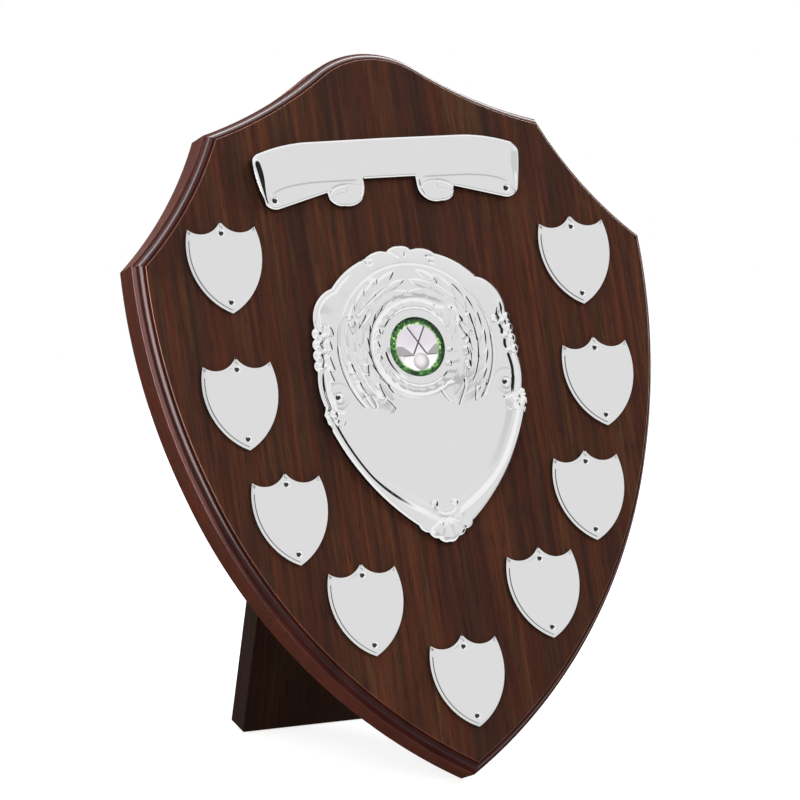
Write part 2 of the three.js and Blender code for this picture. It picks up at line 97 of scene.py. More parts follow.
# Side plates
SIDE_PLATE_HEIGHT = 38.65
SIDE_PLATE_CORNERS = [(0, SIDE_PLATE_HEIGHT, -0.235), (15, SIDE_PLATE_HEIGHT - 3, 0.195), (0, 0)]
SIDE_PLATE_EDGE = 0.5
SIDE_PLATE_RISE = 1.0
SIDE_PLATE_BEVEL = 1.3
SIDE_PLATE_TOP = SEAT_GAP + SIDE_PLATE_EDGE + SIDE_PLATE_RISE
# how far from the upper cusps the crease is painted dark grey as painted shade
CREASE_FROM_CUSP = 4
SIDE_PIN_HEIGHTS = (SIDE_PLATE_HEIGHT - 5.2, 4.6)
# share of the half width, share of the height, turn in degrees
SIDE_PLATE_PLACES = [
    ("side_plate_left_1", -0.672, 0.6453, -0.3),
    ("side_plate_left_2", -0.687, 0.4595, 0.5),
    ("side_plate_left_3", -0.5625, 0.3, 1.6),
    ("side_plate_left_4", -0.33, 0.1696, 1.4),
    ("side_plate_right_1", 0.7026, 0.6259, 0.5),
    ("side_plate_right_2", 0.718, 0.4535, 0.4),
    ("side_plate_right_3", 0.6007, 0.2966, -0.8),
    ("side_plate_right_4", 0.366, 0.1693, 1.4),
    ("side_plate_bottom", 0.02, 0.061, 2.5),
]

# Pins
PIN_HEAD_RADIUS = 0.75
PIN_HEAD_HEIGHT = 0.35
PIN_SHANK_RADIUS = 0.5
PIN_LENGTH = 10
DIMPLE_RADIUS = 1.6
DIMPLE_DEPTH = 0.42
DIMPLE_STEPS = 28
# rings of a dimple: share of its radius and of its depth
DIMPLE_PROFILE = [(0.93, 0.0), (0.85, 0.12), (0.7, 0.55), (0.58, 0.88), (0.45, 1.0)]
PIN_STEPS = 24
PIN_GAP = 0.05

# Ribbon plate
RIBBON_HALF_LENGTH = 62.05
RIBBON_HEIGHT = 27.8
RIBBON_BOTTOM = BOARD_HEIGHT - 38.4 - RIBBON_HEIGHT
RIBBON_OFFSET = 0.6
RIBBON_EDGE = 0.8
RIBBON_RISE = 1.7
RIBBON_PINS = 107.3
RIBBON_PIN_RAISE = 3.7
RIBBON_STEP = 0.5
# the square grid of the relief
RIBBON_CELL = 0.36
# corners as shares of the half length and the height, with the bulge of the arc that follows
RIBBON_SHARES = [
    (0, 1, 0), (0.58, 0.993, 0.035), (0.927, 0.863, 0.18), (1, 0.669, 0.02), (0.956, 0.169, 0.2),
    (0.848, 0.004, 0), (0.474, 0.216, 0), (0.467, 0.112, 0.15), (0.361, 0, 0.15), (0.213, 0.122, 0.05),
    (0.195, 0.255, 0), (0.193, 0.397, 0), (0, 0.397),
]

# Embossed shield
EMBLEM_HALF_WIDTH = 47.1
EMBLEM_HEIGHT = BOARD_HEIGHT * 0.4097
EMBLEM_BOTTOM = BOARD_HEIGHT * 0.3131
EMBLEM_OFFSET = 0.4
EMBLEM_TURN = 1
EMBLEM_EDGE = 0.8
EMBLEM_PINS = 77.4
EMBLEM_PIN_RAISE = EMBLEM_HEIGHT * 0.5128
# how far inside the outline the pins lie
EMBLEM_PIN_DEPTH = 9.0
EMBLEM_CELL = 0.31
EMBLEM_SHARES = [
    (0, 1, 0.12), (0.119, 0.985, 0.12), (0.344, 0.966, 0.07), (0.713, 0.876, 0.19), (0.941, 0.748, 0.3),
    (0.956, 0.711, 0.3), (0.967, 0.675, 0.3), (0.977, 0.639, 0.3), (0.981, 0.603, 0.07),
    (0.97, 0.484, 0.15), (0.962, 0.421, 0.0725), (0.268, 0.064, 0.18), (0.183, 0.038, 0.18),
    (0.098, 0.015, 0.18), (0, 0),
]
EMBLEM_FIELD = 1.2
MEDALLION_RADIUS = 35.5
MEDALLION_HEIGHT = EMBLEM_HEIGHT * 0.6547
ROPE_RADIUS = 17.5
ROPE_HALF_WIDTH = 2.5
# radius of each lane of leaves, their lean in degrees and their length
WREATH_LANES = ((27.3, 0, 13), (29.4, 15, 12), (25.2, -15, 12))
WREATH_INNER = 20.8
WREATH_OUTER = 34
LEAF_HALF_WIDTH = 2.1
LEAF_RISE = 0.42
CUP_HEIGHT = 3.4
# where the valley inside the rim is bridged, up from the tip
BRIDGE_HEIGHTS = (89.2, 83.0, 76.8)
SCARP_REACH = 1.8
SCARP_FOOT = 0.75
GROOVE_HALF_WIDTH = 0.4
LINE_FADE = 1.2

# Printed disc and clear dome
DISC_RADIUS = 12.5
DISC_THICKNESS = 0.8
DISC_FLOOR = 1.0
DOME_THICKNESS = 1.4
DISC_STEPS = 96

# Strut
STRUT_ARRIS = 0.4


def arc_points(start, end, bulge, step):
    """Points from start along an arc, without the end. Bulge is the arc's height over its chord,
    positive to the left."""
    start, end = np.array(start, float), np.array(end, float)
    chord = end - start
    length = math.hypot(*chord)
    steps = max(1, round(length * (1 + 2 * bulge * bulge) / step))
    share = np.arange(steps) / steps
    if bulge == 0:
        return start + np.outer(share, chord)
    side = np.array([-chord[1], chord[0]]) / length
    sag = bulge * length
    radius = (length * length / 4 + sag * sag) / (2 * sag)
    centre = (start + end) / 2 + side * (sag - radius)
    turn = -4 * math.atan(2 * bulge) * share
    arm = start - centre
    return centre + np.column_stack([
        arm[0] * np.cos(turn) - arm[1] * np.sin(turn),
        arm[0] * np.sin(turn) + arm[1] * np.cos(turn),
    ])


def mirrored_outline(corners, step):
    """A closed outline, counter-clockwise from the top, from the corners of its right half."""
    right = [arc_points(a[:2], b[:2], a[2], step) for a, b in zip(corners[:-1], corners[1:])]
    right = np.vstack(right + [np.array([corners[-1][:2]], float)])
    left = right[np.abs(right[:, 0]) > 1e-9] * (-1, 1)
    return np.vstack([left, right[::-1]])


def scaled(shares, half_width, height):
    return [(a * half_width, b * height, *rest) for a, b, *rest in shares]


def turned(across, up, degrees):
    """A spot turned counter-clockwise about the origin."""
    angle = math.radians(degrees)
    return across * math.cos(angle) - up * math.sin(angle), across * math.sin(angle) + up * math.cos(angle)


def inset_outline(outline, inset):
    """The outline moved inwards by the same distance everywhere, with mitred corners."""
    before = outline - np.roll(outline, 1, axis=0)
    after = np.roll(outline, -1, axis=0) - outline
    before /= np.linalg.norm(before, axis=1)[:, None]
    after /= np.linalg.norm(after, axis=1)[:, None]
    inward = np.column_stack([-before[:, 1] - after[:, 1], before[:, 0] + after[:, 0]])
    inward /= np.linalg.norm(inward, axis=1)[:, None]
    lean = inward[:, 0] * -before[:, 1] + inward[:, 1] * before[:, 0]
    return outline + inward * (inset / lean)[:, None]


def smooth(value):
    """A soft step from 0 to 1."""
    value = np.clip(value, 0, 1)
    return value * value * (3 - 2 * value)


def quick_rise(value):
    """A steep rise that flattens out, from 0 to 1."""
    value = np.clip(value, 0, 1)
    return 1 - (1 - value) ** 2


def ridge(value, half_width):
    """1 where value is 0, falling softly to 0 on both sides."""
    return np.exp(-(value / half_width) ** 2)


def blend(first, second, share):
    return first * (1 - share) + second * share


def mount(name):
    return next(m for m in frame["record"]["mounts"] if m["name"] == name)


# The face frame in the row frame, from the back mount of the record
back = mount("board_back")
backwards = Vector(back["axis"]).normalized()
upwards = Vector((0, -backwards.z, backwards.y))
tip_of_back = Vector(back["pos_m"]) - upwards * (back["pos_m"][2] / upwards.z)
tip_of_back.x = 0
face_origin = tip_of_back - backwards * (BOARD_THICKNESS * MILLIMETRE)
FACE_MATRIX = Matrix((
    (1, 0, 0, face_origin.x),
    (0, upwards.y, -backwards.y, face_origin.y),
    (0, upwards.z, -backwards.z, face_origin.z),
    (0, 0, 0, 1),
))


def new_object(name, data):
    made = bpy.data.objects.new(name, data)
    bpy.context.scene.collection.objects.link(made)
    return made


def mesh_piece(name, vertices, faces, materials, bands=None, smooth_angle=35):
    """A mesh object from millimetres. bands gives the material number of each face."""
    mesh = bpy.data.meshes.new(name)
    mesh.from_pydata((np.asarray(vertices, float) * MILLIMETRE).tolist(), [], faces)
    for material in materials:
        mesh.materials.append(material)
    if bands is not None:
        mesh.polygons.foreach_set("material_index", bands)
    mesh.validate()
    mesh.polygons.foreach_set("use_smooth", [True] * len(mesh.polygons))
    mesh.set_sharp_from_angle(angle=math.radians(smooth_angle))
    mesh.update()
    return new_object(name, mesh)


def place_on_face(piece, across=0, up=0, turn=0):
    place = Matrix.Translation((across * MILLIMETRE, up * MILLIMETRE, 0))
    piece.matrix_world = FACE_MATRIX @ place @ Matrix.Rotation(math.radians(turn), 4, "Z")


def finish_piece(piece, node, body="board"):
    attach(piece, body)
    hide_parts(node)


def circle(radius, steps):
    turn = np.arange(steps) * 2 * math.pi / steps
    return [(radius * math.cos(a), radius * math.sin(a)) for a in turn]


def loop_edges(count, first=0):
    return [(first + i, first + (i + 1) % count) for i in range(count)]


def ring_points(rings):
    """The points of rings [(outline, out)], one ring after the other."""
    return np.vstack([np.column_stack([outline, np.full(len(outline), out)]) for outline, out in rings])


def ring_faces(count, levels, first=0):
    """Quads between levels of equal point counts, outwards for rings listed from back to front."""
    return [
        (low + i, low + j, low + j + count, low + i + count)
        for low in range(first, first + (levels - 1) * count, count) for i, j in loop_edges(count)
    ]


def rings_solid(name, rings, materials, bands, **options):
    """A closed solid through rings [(outline, out)] with flat ends. bands: one number for each
    step between rings, then the back and the front."""
    count = len(rings[0][0])
    faces = ring_faces(count, len(rings)) + [tuple(range(count))[::-1]]
    numbers = [band for band in bands[:-2] for _ in range(count)] + [bands[-2]]
    last = (len(rings) - 1) * count
    corners = [Vector(p) for p in rings[-1][0]]
    _, _, triangles, *_ = delaunay_2d_cdt(corners, loop_edges(count), [], 1, 1e-6)
    faces += [tuple(last + i for i in triangle) for triangle in triangles]
    numbers += [bands[-1]] * len(triangles)
    return mesh_piece(name, ring_points(rings), faces, materials, numbers, **options)


def turned_piece(name, profile, steps, materials, **options):
    """A turned solid about the z axis from (radius, height) pairs, bottom to top, ends on the axis."""
    vertices = [(0, 0, profile[0][1])]
    for radius, height in profile[1:-1]:
        vertices += [(a, b, height) for a, b in circle(radius, steps)]
    vertices.append((0, 0, profile[-1][1]))
    faces = ring_faces(steps, len(profile) - 2, first=1)
    top = len(vertices) - 1
    for i, j in loop_edges(steps):
        faces.append((0, 1 + j, 1 + i))
        faces.append((top, top - steps + i, top - steps + j))
    return mesh_piece(name, vertices, faces, materials, **options)


# Materials
class Tree:
    """Short calls that build the node tree of a material or a world."""

    def __init__(self, owner):
        owner.use_nodes = True
        self.nodes, self.links = owner.node_tree.nodes, owner.node_tree.links

    def add(self, kind, **values):
        node = self.nodes.new(kind)
        for key, value in values.items():
            setattr(node, key, value)
        return node

    def put(self, value, socket):
        """Link an output to a socket, or set the socket to a number or a colour."""
        if isinstance(value, bpy.types.NodeSocket):
            self.links.new(value, socket)
        else:
            socket.default_value = (*value, 1) if isinstance(value, tuple) else value

    def maths(self, kind, *values):
        node = self.add("ShaderNodeMath", operation=kind)
        for value, socket in zip(values, node.inputs):
            self.put(value, socket)
        return node.outputs[0]

    def mapped(self, value, **ranges):
        """A value carried over to another range."""
        node = self.add("ShaderNodeMapRange")
        set_inputs(node, **ranges)
        self.put(value, node.inputs["Value"])
        return node.outputs["Result"]

    def mixed(self, kind, factor, first, second, mode="MIX"):
        """Two numbers (FLOAT) or two colours (RGBA) mixed."""
        node = self.add("ShaderNodeMix", data_type=kind, blend_type=mode)
        for value, key in ((factor, "Factor"), (first, "A"), (second, "B")):
            self.put(value, node.inputs[key])
        return node.outputs["Result"]

    def ramp(self, value, stops):
        node = self.add("ShaderNodeValToRGB")
        elements = node.color_ramp.elements
        for element, (position, colour) in zip(elements, (stops[0], stops[-1])):
            element.position = position
            element.color = (*colour, 1)
        for position, colour in stops[1:-1]:
            elements.new(position).color = (*colour, 1)
        self.put(value, node.inputs["Fac"])
        return node.outputs["Color"]

    def noise(self, place, scale, detail, roughness=0.5, distortion=0.0):
        """Noise at a place, scale in cycles for each metre along x, y and z."""
        mapping = self.add("ShaderNodeMapping")
        mapping.inputs["Scale"].default_value = scale
        self.put(place, mapping.inputs["Vector"])
        noise = self.add("ShaderNodeTexNoise")
        set_inputs(noise, Scale=1.0, Detail=detail, Roughness=roughness, Distortion=distortion)
        self.put(mapping.outputs["Vector"], noise.inputs["Vector"])
        return noise.outputs["Fac"]


def set_inputs(node, **values):
    for key, value in values.items():
        node.inputs[key.replace("_", " ")].default_value = value


def new_material(name):
    material = bpy.data.materials.new(name)
    tree = Tree(material)
    return material, tree, tree.nodes["Principled BSDF"]


def wood_material(name, stops, streak, roughness, specular):
    """Straight-grained veneer: broad bands, finer streaks and short dark pores along the grain."""
    material, tree, shader = new_material(name)
    place = tree.add("ShaderNodeTexCoord").outputs["Object"]
    broad = tree.noise(place, (58, 5, 58), 3, 0.55, 0.35)
    fine = tree.noise(place, (430, 16, 430), 4, 0.6, 0.2)
    pores = tree.noise(place, (1500, 90, 1500), 2)
    tints = tree.noise(place, (240, 9, 240), 3, 0.5, 0.3)
    tint = tree.ramp(tints, TINT_STOPS)
    colour = tree.ramp(tree.mixed("FLOAT", 0.55, broad, fine), stops)
    colour = tree.mixed("RGBA", 1.0, colour, tint, "MULTIPLY")
    pore_mask = tree.mapped(pores, From_Min=0.56, From_Max=0.72, To_Min=0.0, To_Max=0.75)
    tree.put(tree.mixed("RGBA", pore_mask, colour, streak), shader.inputs["Base Color"])
    relief = tree.add("ShaderNodeBump", invert=True)
    set_inputs(relief, Strength=0.25, Distance=PORE_DEPTH * MILLIMETRE)
    tree.put(pore_mask, relief.inputs["Height"])
    tree.put(relief.outputs["Normal"], shader.inputs["Normal"])
    set_inputs(shader, Roughness=roughness, Specular_IOR_Level=specular)
    return material


def glossy_material(name, grain, stops, dull, **values):
    """Colour and roughness that vary a little, with a noise of scale grain."""
    material, tree, shader = new_material(name)
    haze = tree.noise(tree.add("ShaderNodeTexCoord").outputs["Object"], grain, 3)
    tree.put(tree.ramp(haze, stops), shader.inputs["Base Color"])
    tree.put(tree.mapped(haze, To_Min=dull[0], To_Max=dull[1]), shader.inputs["Roughness"])
    set_inputs(shader, **values)
    return material


def lacquer_material(name, colour, roughness, specular):
    """Dark lacquer over wood."""
    stops = [(0.3, tuple(0.7 * c for c in colour)), (0.7, tuple(1.3 * c for c in colour))]
    dull = (roughness * 0.8, roughness * 1.2)
    return glossy_material(name, (120, 12, 120), stops, dull, Specular_IOR_Level=specular)


def metal_material(name, colour, roughness, scratch=0.02):
    """Polished metal."""
    stops = [(0.2, tuple(0.985 * c for c in colour)), (0.8, colour)]
    dull = (roughness - scratch, roughness + scratch)
    return glossy_material(name, (90, 140, 90), stops, dull, Metallic=1.0)


PORE_DEPTH = 0.02
TINT_STOPS = [(0.36, (0.90, 1.12, 1.04)), (0.50, (1, 1, 1)), (0.64, (1.14, 0.98, 0.90))]
FACE_STOPS = [
    (0.30, (0.019, 0.0100, 0.0078)),
    (0.42, (0.037, 0.0140, 0.0095)),
    (0.50, (0.054, 0.0186, 0.0108)),
    (0.58, (0.078, 0.0270, 0.0134)),
    (0.70, (0.118, 0.0450, 0.0196)),
]
WALL_STOPS = [
    (0.30, (0.068, 0.0190, 0.0125)),
    (0.50, (0.094, 0.0265, 0.0170)),
    (0.70, (0.118, 0.0350, 0.0225)),
]
BACK_STOPS = [
    (0.30, (0.0210, 0.0100, 0.0072)),
    (0.50, (0.0320, 0.0145, 0.0100)),
    (0.70, (0.0450, 0.0205, 0.0135)),
]
veneer = wood_material("veneer", FACE_STOPS, (0.014, 0.008, 0.007), 0.42, 0.04)
wall_wood = wood_material("wall_wood", WALL_STOPS, (0.03, 0.010, 0.008), 0.85, 0.01)
back_wood = wood_material("back_wood", BACK_STOPS, (0.010, 0.006, 0.005), 0.55, 0.02)
lacquer = lacquer_material("moulding_lacquer", (0.042, 0.006, 0.004), 0.34, 0.045)
bead_lacquer = lacquer_material("bead_lacquer", (0.030, 0.005, 0.003), 0.26, 0.12)
wall_arris_wood = lacquer_material("wall_arris_wood", (0.110, 0.036, 0.024), 0.3, 0.1)
face_arris_wood = lacquer_material("face_arris_wood", (0.17, 0.060, 0.026), 0.4, 0.1)
silver = metal_material("silver_plate", (0.88, 0.88, 0.88), 0.08, 0.015)
# the crease step's dark grey metal is painted shade and dark reflection
painted_shade_crease = metal_material("silver_painted_shade_crease", (0.12, 0.12, 0.12), 0.3)
# the edge walls' near-black metal is a painted shadow and dark reflection
painted_shadow_edge_metal = metal_material("silver_painted_shadow_edge", (0.03, 0.03, 0.03), 0.35)
# the pin heads' near-black metal is a painted dark reflection
painted_dark_pin_metal = metal_material("silver_pin", (0.06, 0.06, 0.06), 0.2)
brass = metal_material("hinge_brass", (0.62, 0.42, 0.16), 0.28, 0.05)


# Board, with the numbers of its materials
FACE, WALL, WALL_EDGE, MOULDING, FACE_EDGE, BACK, BEADING = range(7)


def moulding_profile():
    """(inset, out, material number of the band that follows) from the wall's top to the face."""
    cove_start = (WALL_ARRIS, WALL_ARRIS - MOULDING_DEPTH)
    bead_start = (cove_start[0] + COVE[0], cove_start[1] + COVE[1])
    bead_end = (bead_start[0] + BEAD[0], bead_start[1] + BEAD[1])
    cove = arc_points(cove_start, bead_start, -COVE[2] / math.dist(cove_start, bead_start), PROFILE_STEP)
    bead = arc_points(bead_start, bead_end, BEAD[2] / math.dist(bead_start, bead_end), PROFILE_STEP)
    return [
        (0, -MOULDING_DEPTH, WALL_EDGE),
        *((a, b, MOULDING) for a, b in cove),
        *((a, b, BEADING) for a, b in bead),
        (*bead_end, MOULDING),
        (bead_end[0] + QUIRK_WIDTH, bead_end[1], MOULDING),
        (MOULDING_WIDTH - FACE_ARRIS, -FACE_ARRIS, FACE_EDGE),
        (MOULDING_WIDTH, 0, FACE),
        (MOULDING_WIDTH + FACE_ARRIS, 0, FACE),
    ]


board_outline = mirrored_outline(BOARD_CORNERS, OUTLINE_STEP * 2)
board_rings = [
    (inset_outline(board_outline, BACK_ARRIS), -BOARD_THICKNESS),
    (board_outline, BACK_ARRIS - BOARD_THICKNESS),
]
board_bands = [WALL, WALL]
for inset, out, band in moulding_profile():
    board_rings.append((inset_outline(board_outline, inset), out))
    board_bands.append(band)
board_bands = board_bands[:-1] + [BACK, FACE]
board_materials = [
    veneer, wall_wood, wall_arris_wood, lacquer, face_arris_wood, back_wood, bead_lacquer,
]
board = rings_solid("board_body", board_rings, board_materials, board_bands, smooth_angle=30)
place_on_face(board)
finish_piece(board, "board")


# Plates
def flat_with_dimples(outline, dimples, top):
    """Triangles that fill an outline at height top around round dimples (x, y, radius, depth)."""
    points = [Vector(p) for p in outline]
    edges = loop_edges(len(outline))
    for across, up, radius, _ in dimples:
        edges += loop_edges(DIMPLE_STEPS, len(points))
        points += [Vector((across + a, up + b)) for a, b in circle(radius, DIMPLE_STEPS)]
    found, _, triangles, *_ = delaunay_2d_cdt(points, edges, [], 1, 1e-6)
    flat = np.array([tuple(p) for p in found])
    faces = []
    for triangle in triangles:
        middle = flat[list(triangle)].mean(axis=0)
        if all(math.dist(middle, (x, y)) > radius * 0.97 for x, y, radius, _ in dimples):
            faces.append(tuple(triangle))
    vertices = np.column_stack([flat, np.full(len(flat), top)]).tolist()
    for k, (across, up, radius, depth) in enumerate(dimples):
        outer = len(outline) + k * DIMPLE_STEPS
        for share, drop in DIMPLE_PROFILE:
            inner = len(vertices)
            steps = circle(radius * share, DIMPLE_STEPS)
            vertices += [(across + a, up + b, top - depth * drop) for a, b in steps]
            faces += [(outer + i, outer + j, inner + j, inner + i) for i, j in loop_edges(DIMPLE_STEPS)]
            outer = inner
        faces.append(tuple(range(outer, outer + DIMPLE_STEPS)))
    return vertices, faces


def side_plate(name):
    """A pressed plate: a thin edge wall in near-black metal as a painted shadow and dark reflection, a
    bevel that ends in a crease painted dark grey as painted shade except near the upper cusps, and a flat
    top with dimples at the pins."""
    outline = mirrored_outline(SIDE_PLATE_CORNERS, OUTLINE_STEP)
    ahead = np.roll(outline, -1, axis=0) - outline
    behind = outline - np.roll(outline, 1, axis=0)
    cross = behind[:, 0] * ahead[:, 1] - behind[:, 1] * ahead[:, 0]
    turns = np.abs(np.arctan2(cross, (behind * ahead).sum(axis=1)))
    cusps = outline[(turns > math.radians(50)) & (outline[:, 1] > outline[:, 1].mean())]
    from_cusp = np.hypot(*(outline[:, None, :] - cusps[None, :, :]).transpose(2, 0, 1)).min(axis=1)
    rise, bevel = SIDE_PLATE_RISE, SIDE_PLATE_BEVEL
    stations = [
        (0.0, SEAT_GAP), (0.0, SIDE_PLATE_TOP - rise * 0.66), (0.04, SIDE_PLATE_TOP - rise * 0.6),
        (bevel * 0.92, SIDE_PLATE_TOP - rise * 0.54), (bevel * 0.96, SIDE_PLATE_TOP),
        (bevel * 1.1, SIDE_PLATE_TOP),
    ]
    rings = [(inset_outline(outline, inset), out) for inset, out in stations]
    dimples = [(0, up, DIMPLE_RADIUS, DIMPLE_DEPTH) for up in SIDE_PIN_HEIGHTS]
    top_vertices, top_faces = flat_with_dimples(rings[-1][0], dimples, SIDE_PLATE_TOP)
    vertices = ring_points(rings[:-1]).tolist()
    faces = [tuple(len(vertices) + i for i in face) for face in top_faces]
    count = len(outline)
    outer_faces = ring_faces(count, len(rings)) + [tuple(range(count))[::-1]]
    # materials by number: the outermost band is the edge, painted near black as a painted shadow and dark
    # reflection, and the fourth is the crease, painted dark grey as painted shade
    materials = [silver, painted_shade_crease, painted_shadow_edge_metal]
    bands = np.zeros(len(faces) + len(outer_faces), int)
    edge_start, crease_start = len(faces), len(faces) + 3 * count
    bands[edge_start:edge_start + count] = 2
    bands[crease_start:crease_start + count] = from_cusp >= CREASE_FROM_CUSP
    return mesh_piece(
        name, vertices + top_vertices, faces + outer_faces, materials, bands.tolist(), smooth_angle=28,
    )


def add_pin(name, across, up, seat):
    """A small domed nail head on its shank."""
    low = seat - PIN_LENGTH
    shank, head = PIN_SHANK_RADIUS, PIN_HEAD_RADIUS
    profile = [
        (0, low), (shank * 0.3, low + shank * 0.4), (shank, low + shank * 2), (shank, seat),
        (head * 0.94, seat), (head, seat + PIN_HEAD_HEIGHT * 0.12),
    ]
    for share in (0.12, 0.3, 0.5, 0.7, 0.88):
        angle = share * math.pi / 2
        out = PIN_HEAD_HEIGHT * (0.12 + 0.88 * math.sin(angle))
        profile.append((head * math.cos(angle), seat + out))
    profile.append((0, seat + PIN_HEAD_HEIGHT))
    # the pin head is near-black metal, a painted dark reflection
    pin = turned_piece(name + "_head", profile, PIN_STEPS, [painted_dark_pin_metal], smooth_angle=50)
    place_on_face(pin, across, up)
    finish_piece(pin, name)


for name, across_share, up_share, turn in SIDE_PLATE_PLACES:
    across, up = across_share * EAR_HALF_WIDTH, up_share * BOARD_HEIGHT
    plate = side_plate(name + "_face")
    place_on_face(plate, across, up, turn)
    finish_piece(plate, name)
    for i, pin_height in enumerate(SIDE_PIN_HEIGHTS):
        pin_across, pin_up = turned(0, pin_height, turn)
        seat = SIDE_PLATE_TOP - DIMPLE_DEPTH + PIN_GAP
        add_pin(f"{name}_pin_{i + 1}", across + pin_across, up + pin_up, seat)


# Relief pressed in sheet
def depth_inside(x, y, outline):
    """Distance from points to a closed outline, negative outside it."""
    nearest = np.full(x.shape, np.inf)
    inside = np.zeros(x.shape, bool)
    for (ax, ay), (bx, by) in zip(outline, np.roll(outline, -1, axis=0)):
        dx, dy = bx - ax, by - ay
        share = np.clip(((x - ax) * dx + (y - ay) * dy) / (dx * dx + dy * dy), 0, 1)
        np.minimum(nearest, (x - ax - share * dx) ** 2 + (y - ay - share * dy) ** 2, out=nearest)
        if dy != 0:
            inside ^= ((ay > y) != (by > y)) & (x < dx * (y - ay) / dy + ax)
    return np.where(inside, 1, -1) * np.sqrt(nearest)


def border_loops(faces):
    """Closed loops of the edges that only one face has, the longest first."""
    following = {(a, b) for face in faces for a, b in zip(face, face[1:] + face[:1])}
    border = {a: b for a, b in following if (b, a) not in following}
    loops = []
    while border:
        loop = [min(border)]
        while border[loop[-1]] != loop[0]:
            loop.append(border[loop[-1]])
        for key in loop:
            del border[key]
        loops.append(loop)
    return sorted(loops, key=len, reverse=True)


def relief_grid(name, outline, height_of, cell, pocket=None):
    """A closed plate whose front follows height_of(x, y, depth inside the outline) on a square grid
    clipped along the outline. pocket is (across, up, radius, floor) of a round pocket in it."""
    x0, y0 = outline.min(axis=0) - cell
    columns = int(np.ceil((outline[:, 0].max() - x0) / cell)) + 2
    rows = int(np.ceil((outline[:, 1].max() - y0) / cell)) + 2
    gx, gy = np.meshgrid(x0 + np.arange(columns) * cell, y0 + np.arange(rows) * cell)
    depth = depth_inside(gx, gy, outline)
    kept = depth
    floors = [SEAT_GAP]
    if pocket:
        across, up, radius, pocket_floor = pocket
        kept = np.minimum(depth, np.hypot(gx - across, gy - up) - radius)
        floors.append(pocket_floor)
    kept = np.where(np.abs(kept) < cell * 1e-3, cell * 1e-3, kept)
    inside = kept > 0
    points, index, faces = [], {}, []

    def point_between(one, two):
        """The number of a grid point, or of the place between two where the sheet's border runs."""
        key = (min(one, two), max(one, two))
        if key not in index:
            share = 0 if one == two else kept[one] / (kept[one] - kept[two])
            index[key] = len(points)
            points.append(tuple(grid[one] + share * (grid[two] - grid[one]) for grid in (gx, gy, depth)))
        return index[key]

    touched = inside[:-1, :-1] | inside[1:, :-1] | inside[:-1, 1:] | inside[1:, 1:]
    for r, c in np.argwhere(touched).tolist():
        ring = [(r, c), (r, c + 1), (r + 1, c + 1), (r + 1, c)]
        face = []
        for one, two in zip(ring, ring[1:] + ring[:1]):
            if inside[one]:
                face.append(point_between(one, one))
            if inside[one] != inside[two]:
                face.append(point_between(one, two))
        faces.append(tuple(face))
    points = np.array(points)
    blocks = [np.column_stack([points[:, :2], height_of(*points.T)])]
    loops = border_loops(faces)
    edge_faces = range(len(faces), len(faces) + len(loops[0]))
    count = len(points)
    for loop, floor in zip(loops, floors):
        blocks.append(np.column_stack([points[loop, :2], np.full(len(loop), floor)]))
        faces += [(loop[i], count + i, count + j, loop[j]) for i, j in loop_edges(len(loop))]
        faces.append(tuple(range(count, count + len(loop)))[::-1])
        count += len(loop)
    # the outer wall faces get the near-black edge metal: a painted shadow and dark reflection
    bands = [int(i in edge_faces) for i in range(len(faces))]
    piece = mesh_piece(name, np.vstack(blocks), faces, [silver, painted_shadow_edge_metal], bands, smooth_angle=60)
    arris = set().union(*loops)
    for edge in piece.data.edges:
        if arris.issuperset(edge.vertices):
            edge.use_edge_sharp = True
    return piece


def dimple(x, y, across, up):
    far = np.hypot(x - across, y - up)
    return -DIMPLE_DEPTH * (1 - smooth((far - DIMPLE_RADIUS * 0.5) / (DIMPLE_RADIUS * 0.5)))


# Ribbon plate
def ribbon_height(x, y, depth):
    side = np.abs(x)
    edge = SEAT_GAP + RIBBON_EDGE
    height = edge + RIBBON_RISE * 0.84 * (0.7 + 0.3 * quick_rise(depth / 0.8))
    # the turned-up ends: a narrow lip with a long slope inside it
    from_end = 0.98 * (59.3 + 0.198 * (y - 4.7) - side)
    slope = 1.4 + 2.8 * smooth((y - 3) / 14)
    lip = smooth((from_end + 0.6) / 0.6) * (1 - smooth((from_end - 0.3) / slope))
    # the right end is pressed flatter
    height += (1.55 - 1.05 * (x > 0)) * lip * smooth((y - 1.5) / 2.5) * (1 - smooth((y - 19) / 3.5))
    # the tail behind the band: an arched crease with a step down below it
    across = np.clip((side - 28) / 28.3, 0, 1)
    crease_up = np.where(side < 28, 10.8, 3.2 + 7.6 * (1 - across ** 2.4) ** (1 / 2.4))
    on_tail = smooth((side - 12) / 6) * (side > 12)
    height -= 0.16 * smooth((crease_up - y) / 0.55) * on_tail
    # the rolled curls in the middle
    arch = np.sqrt(((side - 20.7) / 8.6) ** 2 + ((y - 4.3) / 4.5) ** 2)
    on_curl = (side > 12.2) & (side < 29.6) & (y > 4.2)
    height -= 0.14 * ridge(np.abs(arch - 1) * 4.5, 0.4) * on_curl
    lip = 5.0 - 2.2 * np.clip((side - 20.8) / 7.5, 0, 1) ** 1.8
    pocket = smooth((side - 20.6) / 0.7) * smooth((y - lip) / 0.7) * smooth((1 - arch) * 4.5 / 0.7)
    height -= 0.6 * pocket * (1 - pocket)
    # a raised rim on the curls' ends
    on_ends = ((side > 27.5) & (side < 30) & (y < 6.5)) | ((side < 14.6) & (y < 9.5))
    rim = smooth(depth / 0.5) * (1 - smooth((depth - 0.6) / 0.9))
    height += 0.25 * rim * on_ends
    for across in (-RIBBON_PINS / 2, RIBBON_PINS / 2):
        height += dimple(x, y, across, RIBBON_PIN_RAISE)
    return height


